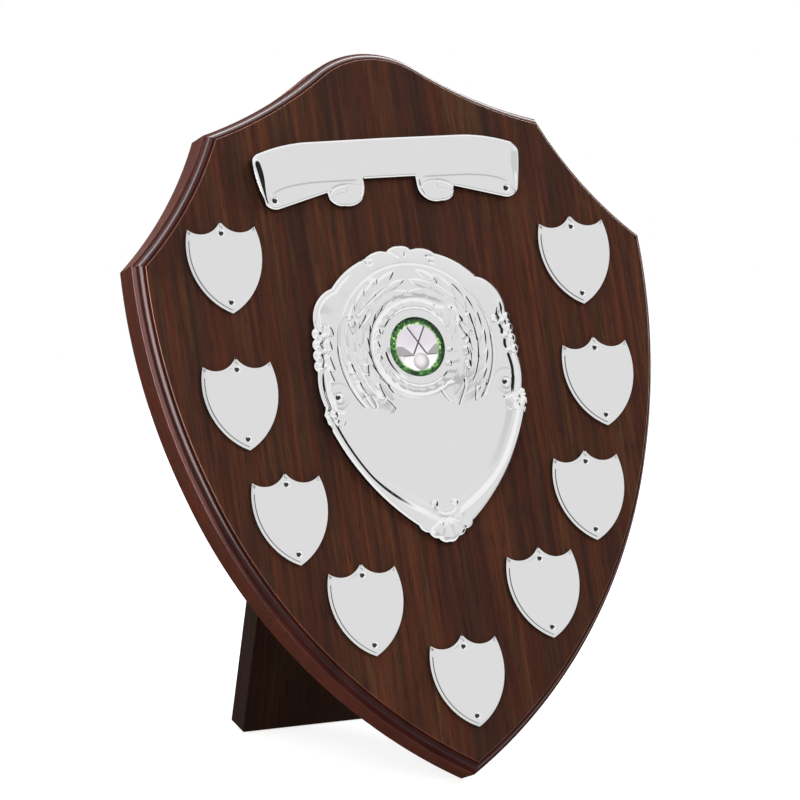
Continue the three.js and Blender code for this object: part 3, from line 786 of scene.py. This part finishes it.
ribbon_outline = mirrored_outline(scaled(RIBBON_SHARES, RIBBON_HALF_LENGTH, RIBBON_HEIGHT), RIBBON_STEP)
ribbon = relief_grid("ribbon_face", ribbon_outline, ribbon_height, RIBBON_CELL)
place_on_face(ribbon, RIBBON_OFFSET, RIBBON_BOTTOM)
finish_piece(ribbon, "ribbon_plate")
for i, across in enumerate((-RIBBON_PINS / 2, RIBBON_PINS / 2)):
    seat = SEAT_GAP + RIBBON_EDGE + RIBBON_RISE * 0.86 - DIMPLE_DEPTH + PIN_GAP
    add_pin(f"ribbon_plate_pin_{i + 1}", RIBBON_OFFSET + across, RIBBON_BOTTOM + RIBBON_PIN_RAISE, seat)


# Embossed shield: lines, beads and leaves
def curve(points, steps=6):
    """A smooth line through points."""
    points = np.array(points, float)
    if len(points) == 2:
        return points
    padded = np.vstack([2 * points[0] - points[1], points, 2 * points[-1] - points[-2]])
    t = np.arange(steps)[:, None] / steps
    runs = [
        0.5 * (2 * b + (c - a) * t + (2 * a - 5 * b + 4 * c - d) * t ** 2
               + (3 * b - a - 3 * c + d) * t ** 3)
        for a, b, c, d in zip(padded[:-3], padded[1:-2], padded[2:-1], padded[3:])
    ]
    return np.vstack(runs + [points[-1:]])


def follow_line(x, y, line, margin):
    """For the points within margin of a line: which they are, distance from either end measured
    along it, and offset to the right of it."""
    low, high = line.min(axis=0) - margin, line.max(axis=0) + margin
    near = np.flatnonzero((x > low[0]) & (x < high[0]) & (y > low[1]) & (y < high[1]))
    px, py = x[near], y[near]
    gap_best = np.full(near.shape, np.inf)
    travelled = np.zeros(near.shape)
    offset = np.zeros(near.shape)
    lengths = np.hypot(*np.diff(line, axis=0).T)
    starts = np.concatenate([[0], np.cumsum(lengths)])
    for (ax, ay), (bx, by), length, done in zip(line[:-1], line[1:], lengths, starts):
        ux, uy = (bx - ax) / length, (by - ay) / length
        along = np.clip((px - ax) * ux + (py - ay) * uy, 0, length)
        gap = np.hypot(px - ax - along * ux, py - ay - along * uy)
        right = (px - ax) * uy - (py - ay) * ux >= 0
        closer = gap < gap_best
        gap_best = np.where(closer, gap, gap_best)
        travelled = np.where(closer, done + along, travelled)
        offset = np.where(closer, np.where(right, gap, -gap), offset)
    return near, np.minimum(travelled, starts[-1] - travelled), offset


def scarp(height, x, y, points, drop):
    """A gentle rise from the left that ends in a short steep drop along a line."""
    line = curve(points if points[0][1] <= points[-1][1] else points[::-1])
    near, end_gap, offset = follow_line(x, y, line, 3 * SCARP_REACH)
    form = np.where(offset < 0, ridge(offset, SCARP_REACH), 1 - smooth(offset / SCARP_FOOT))
    height[near] += drop * smooth(end_gap / LINE_FADE + 0.15) * form


def groove(height, x, y, points, depth, half=GROOVE_HALF_WIDTH, fade=LINE_FADE):
    near, end_gap, offset = follow_line(x, y, curve(points), 3 * half)
    height[near] -= 1.35 * depth * smooth(end_gap / fade + 0.15) * ridge(offset, half)


def cap(x, y, across, up, radius):
    """The shape of a round bead: 1 at its middle, 0 at its rim and beyond."""
    far = np.hypot(x - across, y - up) / radius
    return np.sqrt(np.clip(1 - far ** 2, 0, 1))


def ball(height, x, y, across, up, radius, top):
    """A round bead whose top is at a given height."""
    form = cap(x, y, across, up, radius)
    np.maximum(height, np.where(form > 0, top - radius * (1 - form), 0), out=height)


def laurel_leaf(relief, x, y, base, tip):
    """A pointed leaf that stands out most near its tip, with a fine rib, kept where it is highest."""
    length = math.dist(base, tip)
    ux, uy = (tip[0] - base[0]) / length, (tip[1] - base[1]) / length
    along = ((x - base[0]) * ux + (y - base[1]) * uy) / length
    offset = (x - base[0]) * uy - (y - base[1]) * ux
    share = np.clip(along, 1e-6, 1 - 1e-6)
    half = LEAF_HALF_WIDTH * np.sin(math.pi * share ** 0.8) ** 0.75
    form = np.clip(1 - (offset / half) ** 2, 0, 1)
    body = LEAF_RISE * (0.3 + 0.7 * share) * form - 0.06 * ridge(offset, 0.35) * (form > 0.5)
    np.maximum(relief, np.where((along > 0) & (along < 1), body, 0), out=relief)


def wreath(x, y):
    """Two laurel branches that climb either side of the medallion."""
    relief = np.zeros(x.shape)
    for side in (-1, 1):
        for station in range(9):
            angle = math.radians(56 - 14.5 * station)
            along = np.array([math.sin(angle), math.cos(angle)])
            out = np.array([math.cos(angle), -math.sin(angle)])
            for lane, lean, length in WREATH_LANES:
                turn = math.radians(lean)
                ahead = along * math.cos(turn) + out * math.sin(turn) - 0.17 * out
                base = lane * out * (side, 1) + (0, MEDALLION_HEIGHT)
                laurel_leaf(relief, x, y, base, base + length * ahead * (side, 1))
    return relief


# Sharp edges that face right, as lines across and up on the shield, with their drop
SCARPS = [
    (0.55, [(-23.5, 76.5), (-23.8, 71.5)]),
    (0.5, [(-19.8, 68.5), (-18.9, 65), (-17.8, 61.5)]),
    (0.3, [(-17.8, 61.5), (-15.5, 59), (-13.5, 56.5)]),
    (0.35, [(-31, 77.5), (-30.6, 75.5), (-29.5, 73)]),
    (0.3, [(-28.5, 69.5), (-27.5, 66.5), (-25.5, 63.5)]),
    (0.25, [(-27.6, 98), (-27.2, 95.5)]),
    (0.25, [(-26.8, 95), (-26.3, 92)]),
    (0.25, [(-14, 112), (-15.5, 108.8)]),
    (0.35, [(20.5, 91), (22, 87.5), (23.8, 84.5)]),
    (0.33, [(24, 83.7), (24.5, 81.8)]),
    (0.35, [(22.8, 81), (23.3, 77)]),
    (0.38, [(23, 75), (23.5, 71.5)]),
    (0.5, [(26.5, 95), (27.3, 90.5), (28, 87)]),
    (0.35, [(21, 94), (23, 91.5)]),
    (0.25, [(12.5, 111), (14.5, 108)]),
    (0.25, [(18, 98.3), (19.2, 97.2)]),
    (0.5, [(-16.3, 91), (-16, 88)]),
    (0.5, [(-18, 86), (-17, 82.5)]),
    (0.3, [(-18, 80), (-16.5, 77.5)]),
    (0.4, [(15.5, 81), (15.8, 79)]),
    (0.45, [(14, 75.5), (14.4, 73.3)]),
    (0.5, [(-39.3, 87.5), (-38.7, 85.3), (-38.5, 83)]),
    (0.55, [(-40.2, 81), (-39.5, 78), (-38.5, 74.5)]),
    (0.55, [(-41.4, 75.5), (-40.4, 72.5), (-39.5, 70)]),
    (0.4, [(-38.3, 93.5), (-37.2, 91.5), (-36.8, 89)]),
    (0.6, [(38.8, 93.5), (39.5, 90.5)]),
]

# Fine lines: leaf and stem outlines, wing edges and scroll lines
GROOVES = [
    (0.16, [(-5, 110.5), (-12, 106.3), (-18, 102), (-24, 97)]),
    (0.16, [(-18, 98.5), (-21.5, 94.5), (-25, 90.5)]),
    (0.14, [(-21, 91), (-23.4, 85), (-23.8, 79)]),
    (0.18, [(-27, 64.5), (-24.8, 60), (-22.6, 57.3), (-21.9, 59.5), (-24, 63.5)]),
    (0.16, [(-9, 60), (-12.5, 63.5), (-15, 67)]),
    (0.18, [(8.5, 64), (10.5, 60.5), (13, 57.5)]),
    (0.2, [(20.5, 68), (20, 64), (18, 60), (16, 56)]),
    (0.16, [(25.5, 65), (24.6, 61), (24, 57)]),
    (0.14, [(30.5, 66), (29.5, 61), (27.5, 58)]),
    (0.2, [(-8, 123.8), (-4, 122.8), (-0.8, 120.3)]),
    (0.14, [(2.6, 123.4), (2.4, 121.5), (1.6, 120)]),
    (0.35, [(-18.2, 120.2), (-15.8, 120.3), (-13.2, 120.5)]),
    (0.35, [(-15.8, 120.3), (-15.6, 118.8), (-14.2, 118.2), (-13.8, 119.4)]),
    (0.3, [(11.5, 120.3), (13.5, 120.2), (15.5, 119.5)]),
    (0.2, [(12.5, 118.3), (15.5, 116.8)]),
    (0.35, [(-42.5, 96.3), (-43.2, 94.3), (-42.2, 92.2), (-41, 91)]),
    (0.16, [(41.2, 97), (40.5, 94), (42.3, 92.5), (43, 95)]),
]


def measured_place(x, y, ground):
    """Where points of the turned shield lie as the ornament was measured: upright, on a plane
    1.8 mm out, along the photograph's line of sight."""
    across, up = turned(x, y - MEDALLION_HEIGHT, EMBLEM_TURN)
    seen_across = 0.1 + 0.51 * (ground - 1.8)
    seen_up = MEDALLION_HEIGHT + 0.2 + 0.175 * (ground - 1.8)
    return across + seen_across, up + seen_up


def bottom_shell(height, x, y):
    """A small fan shell under a U-shaped scroll, at the shield's tip."""
    far = np.hypot(x - 1.5, (y - 10.8) * 0.95)
    turn = np.arctan2(y - 10.8, x - 1.5)
    fan = (1 - smooth((np.abs(turn + math.pi / 2) - 0.95) / 0.12)) * smooth((far - 0.8) / 1.2)
    ribs = np.abs(np.sin(turn * 4.7 + 0.3))
    height += fan * (0.3 + 0.22 * ribs * smooth((far - 1) / 4) - 0.35 * smooth((far - 8.4) / 1.8))
    scroll = [(-3.6, 16.6), (-3.1, 14.4), (-1.6, 12.4), (1.8, 11.2), (5.2, 12), (7.1, 14.2), (7.5, 17.2)]
    near, end_gap, offset = follow_line(x, y, curve(scroll), 3)
    height[near] += 0.22 * smooth(end_gap / 0.6 + 0.3) * ridge(offset, 0.9)
    groove(height, x, y, [(px - 0.1, py + 0.9) for px, py in scroll[1:-1]], 0.12)
    for across in (-2.5, 6.5):
        height += 0.35 * cap(x, y, across, 16.4, 1.3)
    groove(height, x, y, [(-3.6, 17.3), (-3.9, 16.3), (-3.3, 15.6)], 0.5, 0.35, 0.4)
    groove(height, x, y, [(5.5, 16.9), (5.6, 15.9)], 0.45, 0.35, 0.3)


def side_rosette(height, x, y):
    """A cluster of small lobes on the rim beside the panel's shoulder, with a leaf pointing inwards."""
    lobes = [(45.6, 58.8, 2.0), (45.8, 55.2, 2.1), (44.9, 51.6, 1.9), (42.5, 57.2, 1.8), (42.2, 53.6, 1.7)]
    for across, up, radius in lobes:
        ball(height, x, y, across, up, radius, 3.1)
    height += 0.18 * cap(x, y, 39.9, 54.6, 2.9)
    groove(height, x, y, [(42, 59.5), (39.5, 58.2), (36.5, 57.6)], 0.35, 0.45)
    groove(height, x, y, [(41, 53.4), (40, 53.1)], 0.5, 0.5, 0.4)


def frame_and_crown(x, y, depth, ground):
    """The shield's rim: a rolled bead beside the medallion, a broad slope round the crown with a
    small rolled edge, and a frame below."""
    low_part = 1 - smooth((y - 54) / 5)
    crown_part = smooth((y - 91) / 9)
    edge = SEAT_GAP + EMBLEM_EDGE
    narrow = 1 - smooth((y - 2) / 30)
    crest = blend(2.3, 3.1 - 0.8 * narrow, low_part)
    outer = edge + (crest - edge) * (0.6 + 0.4 * quick_rise(depth / 0.8))
    band = blend(1.4, 1.9 + 2.4 * narrow, low_part)
    wall = blend(1.8, 1.8 + 5.0 * narrow, low_part)
    foot = ground + 0.42 * low_part * (1 - smooth((depth - band - wall) / 5.0))
    frame_height = blend(outer, foot, smooth((depth - band) / wall))
    dome = edge + 0.5 + 0.4 * quick_rise(depth / 0.7) + (ground - edge - 0.9) * quick_rise(depth / 20)
    dome -= 0.2 * smooth((-x - 24) / 4) * ridge(depth - 1.7, 0.5)
    return blend(frame_height, dome, crown_part)


def valley_and_beads(height, x, y, depth):
    """The valley inside the rolled rim, bridged in three places, and the beads on the rim."""
    beads_part = smooth((y - 75) / 2) * (1 - smooth((y - 92) / 2))
    middle_part = smooth((y - 57) / 3) * (1 - smooth((y - 92) / 3))
    for bridge in BRIDGE_HEIGHTS:
        middle_part *= 1 - 0.85 * ridge(y - bridge, 1.1)
    bottom = 3.1 + 0.7 * beads_part
    sides = smooth((depth - bottom + 1.7) / 1.7) * (1 - smooth((depth - bottom) / 2.4))
    height -= 0.6 * middle_part * sides
    for i in range(4):
        ball(height, np.abs(x), y, 43.7 + 1.1 * i / 3, 91.0 - 4.55 * i, 2.1, 2.9)
    side_rosette(height, np.abs(x), y)


def medallion(height, x, y):
    """Its rim line, the wreath, the rope ring and the cup that holds the disc."""
    above = y - MEDALLION_HEIGHT
    far = np.hypot(x, above)
    turn = np.arctan2(above, x)
    upper = smooth((y - 56.5) / 4)
    height -= ridge(far - MEDALLION_RADIUS, 0.5) * upper * (0.18 + 0.3 * smooth((4 - above) / 4))
    right_part = smooth((x / far - 0.3) / 0.3)
    leafy = smooth((y - 55.5) / 10) * (far < WREATH_OUTER)
    leafy *= smooth((far - WREATH_INNER) / (0.4 + 3.6 * right_part))
    height += leafy * wreath(x, y)
    left_part = smooth(0.5 - x / far)
    height -= 0.5 * left_part * ridge(far - 20.5, 0.5) * upper
    from_rope = np.abs(far - ROPE_RADIUS)
    outer_reach = 2.5 + 7.0 * smooth((x / far - 0.55) / 0.4)
    reach = np.where(far < ROPE_RADIUS, 2.5, outer_reach)
    petals = 0.5 + 0.5 * np.cos(24 * turn - far * 0.9)
    rope = np.where(from_rope < ROPE_HALF_WIDTH, 0.12 * petals, 0)
    height += np.exp(-(from_rope / reach) ** 4) * (0.75 + rope)
    left_low = smooth((-x / far - 0.3) / 0.4) * smooth((1.5 - above) / 4)
    cup = CUP_HEIGHT - 0.42 * left_low * (1 - smooth((far - 13.9) / 1.7))
    height[:] = blend(height, cup, 1 - smooth((far - 15.8) / 1.2))


def emblem_height(x, y, depth):
    # the ground rises from the panel to the crown
    ground = EMBLEM_FIELD + 0.05 + 1.35 * smooth((y - 48) / 32) + 0.95 * smooth((y - 80) / 32)
    height = frame_and_crown(x, y, depth, ground)
    valley_and_beads(height, x, y, depth)
    medallion(height, x, y)
    # ornament measured on the photograph
    across, up = measured_place(x, y, ground)
    for drop, points in SCARPS:
        scarp(height, across, up, points, drop)
    for line_depth, points in GROOVES:
        groove(height, across, up, points, line_depth)
    bottom_shell(height, across, up)
    for pin_across in (-EMBLEM_PINS / 2, EMBLEM_PINS / 2):
        spot = np.hypot(x - pin_across, y - EMBLEM_PIN_RAISE)
        height += 0.1 * ridge(spot - 2.3, 0.5) - 0.05 * ridge(spot - 5.2, 0.6)
        height += dimple(x, y, pin_across, EMBLEM_PIN_RAISE)
    return np.maximum(height, SEAT_GAP + EMBLEM_EDGE * 0.4)


def emblem_spot(across, up):
    """Where a spot of the shield, from its tip and its middle line, lies on the board's face."""
    across, up = turned(across, up - MEDALLION_HEIGHT, EMBLEM_TURN)
    return EMBLEM_OFFSET + across, EMBLEM_BOTTOM + MEDALLION_HEIGHT + up


emblem = relief_grid(
    "embossed_shield_face",
    mirrored_outline(scaled(EMBLEM_SHARES, EMBLEM_HALF_WIDTH, EMBLEM_HEIGHT), FINE_STEP),
    emblem_height, EMBLEM_CELL, pocket=(0, MEDALLION_HEIGHT, DISC_RADIUS + PIN_GAP, DISC_FLOOR),
)
place_on_face(emblem, *emblem_spot(0, 0), EMBLEM_TURN)
finish_piece(emblem, "embossed_shield")
for i, across in enumerate((-EMBLEM_PINS / 2, EMBLEM_PINS / 2)):
    place = [np.array([value]) for value in (across, EMBLEM_PIN_RAISE, EMBLEM_PIN_DEPTH)]
    seat = float(emblem_height(*place)[0]) + PIN_GAP
    add_pin(f"embossed_shield_pin_{i + 1}", *emblem_spot(across, EMBLEM_PIN_RAISE), seat)


# Printed disc and clear dome
def disc_material():
    """A glitter green ring round a pale foil field with plain crossed clubs and a ball, painted in
    millimetres from the disc's centre."""
    material, tree, shader = new_material("printed_disc")
    place = tree.add("ShaderNodeTexCoord").outputs["Object"]
    kinds = ("ADD", "SUBTRACT", "MULTIPLY", "ABSOLUTE")
    plus, minus, times, absolute = (partial(tree.maths, kind) for kind in kinds)
    split = tree.add("ShaderNodeSeparateXYZ")
    tree.put(place, split.inputs[0])
    x, y = (times(split.outputs[axis], 1 / MILLIMETRE) for axis in "XY")

    def far_from(cx, cy):
        dx, dy = minus(x, cx), minus(y, cy)
        return tree.maths("SQRT", plus(times(dx, dx), times(dy, dy)))

    def below(value, limit, soft):
        """1 where value is under limit, 0 above it, with a soft edge."""
        return tree.mapped(value, From_Min=limit - soft, From_Max=limit + soft, To_Min=1.0, To_Max=0.0)

    def above(value, limit, soft):
        return minus(1.0, below(value, limit, soft))

    def stroke(ax, ay, bx, by, half):
        """1 on the straight line between two points, 0 beside it."""
        length = math.hypot(bx - ax, by - ay)
        ux, uy = (bx - ax) / length, (by - ay) / length
        dx, dy = minus(x, ax), minus(y, ay)
        along = plus(times(dx, ux), times(dy, uy))
        off = plus(times(dx, -uy), times(dy, ux))
        from_middle = absolute(minus(along, length / 2))
        beside = below(absolute(off), half, 0.12)
        return times(beside, below(from_middle, length / 2, 0.15))

    far = far_from(0, 0)
    cells = tree.add("ShaderNodeTexVoronoi")
    set_inputs(cells, Scale=1100.0)
    tree.put(place, cells.inputs["Vector"])
    soft_noise = tree.noise(place, (160, 160, 160), 2)
    glitter = tree.mixed("FLOAT", 0.5, cells.outputs["Color"], soft_noise)
    inward = times(minus(10.9, far), 0.12)
    greens = tree.ramp(plus(glitter, inward), [
        (0.28, (0.001, 0.014, 0.003)), (0.42, (0.004, 0.045, 0.006)), (0.55, (0.02, 0.11, 0.012)),
        (0.68, (0.10, 0.26, 0.03)), (0.80, (0.45, 0.65, 0.28)),
    ])
    whiter_below = times(y, -0.03)
    colour = tree.ramp(plus(tree.noise(place, (70, 70, 70), 2), whiter_below), [
        (0.30, (0.47, 0.43, 0.47)), (0.60, (0.57, 0.54, 0.57)), (0.80, (0.68, 0.68, 0.68)),
    ])
    grey_metal, dark = (0.24, 0.24, 0.24), (0.03, 0.03, 0.035)
    middle = 1.2
    sole = -3.4
    above_sole = minus(y, sole)
    layers = []
    for sign in (-1, 1):
        outward = minus(times(minus(x, middle), sign), 2.4)
        wedge = below(minus(above_sole, times(outward, 0.8)), 0, 0.15)
        slab = below(absolute(minus(above_sole, 2.1)), 2.1, 0.2)
        layers += [
            (stroke(middle + sign * 4.0, 8.6, middle - sign * 3.0, -3.0, 0.33), dark),
            (times(wedge, slab), grey_metal),
            (stroke(middle + sign * 2.9, sole, middle + sign * 7.8, sole, 0.18), dark),
        ]
    wobble = times(minus(soft_noise, 0.5), 1.4)
    layers += [
        (below(far_from(middle, -6.1), 3.6, 0.12), (0.24, 0.23, 0.245)),
        (below(far_from(middle - 0.45, -5.5), 2.6, 1.1), (0.56, 0.53, 0.55)),
        (above(plus(far_from(0.6, 0), wobble), 9.8, 0.4), greens),
        (above(far, 12.1, 0.12), (0.01, 0.05, 0.01)),
    ]
    for mask, paint in layers:
        colour = tree.mixed("RGBA", mask, colour, paint)
    tree.put(colour, shader.inputs["Base Color"])
    set_inputs(shader, Roughness=0.4, Specular_IOR_Level=0.3)
    return material


disc_seat = DISC_FLOOR + SEAT_GAP
disc_top = disc_seat + DISC_THICKNESS
disc_profile = [
    (0, disc_seat), (DISC_RADIUS * 0.99, disc_seat), (DISC_RADIUS, disc_seat + 0.1),
    (DISC_RADIUS, disc_top - 0.1), (DISC_RADIUS * 0.99, disc_top), (DISC_RADIUS * 0.5, disc_top),
    (0, disc_top),
]
disc = turned_piece("centre_disc_print", disc_profile, DISC_STEPS, [disc_material()], smooth_angle=30)
place_on_face(disc, *emblem_spot(0, MEDALLION_HEIGHT), EMBLEM_TURN)
finish_piece(disc, "centre_disc")

resin, _, resin_shader = new_material("clear_resin")
set_inputs(resin_shader, Base_Color=(1, 1, 1, 1), Roughness=0.03, IOR=1.12, Transmission_Weight=1.0)
dome_seat = disc_top + SEAT_GAP
dome_profile = [(0, dome_seat), (DISC_RADIUS, dome_seat)]
for i in range(9):
    angle = i / 9 * math.pi / 2
    shoulder = 0.35 + 0.44 * DOME_THICKNESS * math.sin(angle)
    dome_profile.append((DISC_RADIUS * (0.86 + 0.14 * math.cos(angle)), dome_seat + shoulder))
for share in (0.75, 0.6, 0.45, 0.3, 0.15, 0):
    dome_profile.append((DISC_RADIUS * share, dome_seat + DOME_THICKNESS * (1 - 0.32 * share * share)))
dome = turned_piece("clear_dome_resin", dome_profile, DISC_STEPS, [resin], smooth_angle=40)
place_on_face(dome, *emblem_spot(0, MEDALLION_HEIGHT), EMBLEM_TURN)
dome.visible_shadow = False
finish_piece(dome, "clear_dome")

# Strut: the CAD solid with softened arrises
strut = frame["nodes"]["strut"].copy()
strut.data = strut.data.copy()
strut.name = "strut_board"
strut.parent = None
bpy.context.scene.collection.objects.link(strut)
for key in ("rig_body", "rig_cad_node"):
    if key in strut:
        del strut[key]
weld = strut.modifiers.new("weld", "WELD")
weld.merge_threshold = 1e-5
soften = strut.modifiers.new("soften", "BEVEL")
soften.width = STRUT_ARRIS * MILLIMETRE
soften.segments = 2
soften.angle_limit = math.radians(40)
strut.data.materials.clear()
strut.data.materials.append(back_wood)
# its grain runs lengthways, square to the foot
along = -Vector(mount("strut_foot")["axis"]).normalized()
strut_matrix = Matrix(((1, 0, 0), (0, along.y, -along.z), (0, along.z, along.y))).to_4x4()
strut.data.transform(strut_matrix.inverted())
strut.matrix_world = strut_matrix
finish_piece(strut, "strut", "strut")

for node, piece in frame["nodes"].items():
    if node.startswith("hinge"):
        piece.data.materials.clear()
        piece.data.materials.append(brass)

# Camera
camera_data = bpy.data.cameras.new("camera")
camera_data.sensor_width = 36
camera_data.lens = 207.93
camera = new_object("camera", camera_data)
camera.location = (-0.861970, -1.691747, 0.443952)
look = Vector((0.44905, 0.88024, -0.15340))
camera.rotation_euler = look.to_track_quat("-Z", "Y").to_euler()
bpy.context.scene.camera = camera

# Floor: near white for the camera, plain white for glossy and transmission rays, grey as a light
floor_mesh = bpy.data.meshes.new("floor")
floor_half, floor_level = 0.9, -0.0004
corners = [(a * floor_half, b * floor_half, floor_level) for a, b in ((-1, -1), (1, -1), (1, 1), (-1, 1))]
floor_mesh.from_pydata(corners, [], [(0, 1, 2, 3)])
floor = new_object("floor", floor_mesh)
floor_material, tree, shader = new_material("floor")
floor_mesh.materials.append(floor_material)
set_inputs(shader, Base_Color=(0.8, 0.8, 0.8, 1), Roughness=0.9, Specular_IOR_Level=0.0)
rays = tree.add("ShaderNodeLightPath").outputs
seen = tree.maths("MAXIMUM", rays["Is Glossy Ray"], rays["Is Transmission Ray"])
glow = tree.add("ShaderNodeEmission")
set_inputs(glow, Color=(1, 1, 1, 1))
tree.put(tree.maths("MULTIPLY_ADD", rays["Is Camera Ray"], 0.75, seen), glow.inputs["Strength"])
both = tree.add("ShaderNodeAddShader")
mix = tree.add("ShaderNodeMixShader")
for output, socket in (
    (shader.outputs[0], both.inputs[0]), (glow.outputs[0], both.inputs[1]), (seen, mix.inputs["Fac"]),
    (both.outputs[0], mix.inputs[1]), (glow.outputs[0], mix.inputs[2]),
    (mix.outputs[0], tree.nodes["Material Output"].inputs["Surface"]),
):
    tree.put(output, socket)

# World: white where it is seen, dimmer as a light, and cards that only glossy rays find
world = bpy.data.worlds.new("studio")
bpy.context.scene.world = world
tree = Tree(world)
background = tree.nodes["Background"]
set_inputs(background, Color=(1, 1, 1, 1))
rays = tree.add("ShaderNodeLightPath").outputs
seen = tree.maths("MAXIMUM", rays["Is Camera Ray"], rays["Is Glossy Ray"])
seen = tree.maths("MAXIMUM", seen, rays["Is Transmission Ray"])
level = tree.mapped(seen, To_Min=0.45, To_Max=1.0)
# each card's direction, the cosines where it begins and is full, and its level
REFLECTED_CARDS = [
    ((0.449, -0.776, 0.444), 0.90, 0.985, 0.82),
    ((0.170, -0.850, 0.490), 0.975, 0.99, 0.68),
    ((0.449, -0.893, -0.010), 0.93, 0.98, 0.55),
    ((-0.594, -0.690, 0.410), 0.80, 0.95, 0.86),
    ((1.000, 0.000, 0.000), 0.70, 0.80, 0.02),
]
direction = tree.add("ShaderNodeTexCoord").outputs["Generated"]
mirrored = 1.0
for towards, begins, full, card_level in REFLECTED_CARDS:
    facing = tree.add("ShaderNodeVectorMath", operation="DOT_PRODUCT")
    tree.put(direction, facing.inputs[0])
    facing.inputs[1].default_value = towards
    share = tree.mapped(facing.outputs["Value"], From_Min=begins, From_Max=full)
    share.node.interpolation_type = "SMOOTHSTEP"
    mirrored = tree.mixed("FLOAT", share, mirrored, card_level)
tree.put(tree.mixed("FLOAT", rays["Is Glossy Ray"], level, mirrored), background.inputs["Strength"])

# Lamps, in metres
LAMP_TARGET = (0, 0, 0.15)


def add_lamp(name, place, size, power):
    """A round area lamp that faces the middle of the shield and that nothing mirrors."""
    data = bpy.data.lights.new(name, "AREA")
    data.shape = "DISK"
    data.size = size
    data.energy = power
    lamp = new_object(name, data)
    lamp.location = place
    lamp.rotation_euler = (Vector(LAMP_TARGET) - lamp.location).to_track_quat("-Z", "Y").to_euler()
    lamp.visible_glossy = False
    return lamp


add_lamp("key", (1.5, -1.1, 1.6), 0.45, 26)
add_lamp("left_fill", (-1.1, -0.8, 1.1), 0.9, 6.4)

# Two softboxes that only the board mirrors
lacquered = bpy.data.collections.new("lacquered")
lacquered.objects.link(board)
for name, place, size, power in (
    ("left_softbox", (-0.87, -0.46, 0.42), 1.35, 135),
    ("top_softbox", (0.35, 0.55, 0.76), 3.2, 190),
):
    softbox = add_lamp(name, place, size, power)
    softbox.visible_glossy = True
    softbox.visible_diffuse = False
    softbox.visible_camera = False
    softbox.visible_transmission = False
    softbox.light_linking.receiver_collection = lacquered

bpy.context.scene.view_settings.view_transform = "Standard"
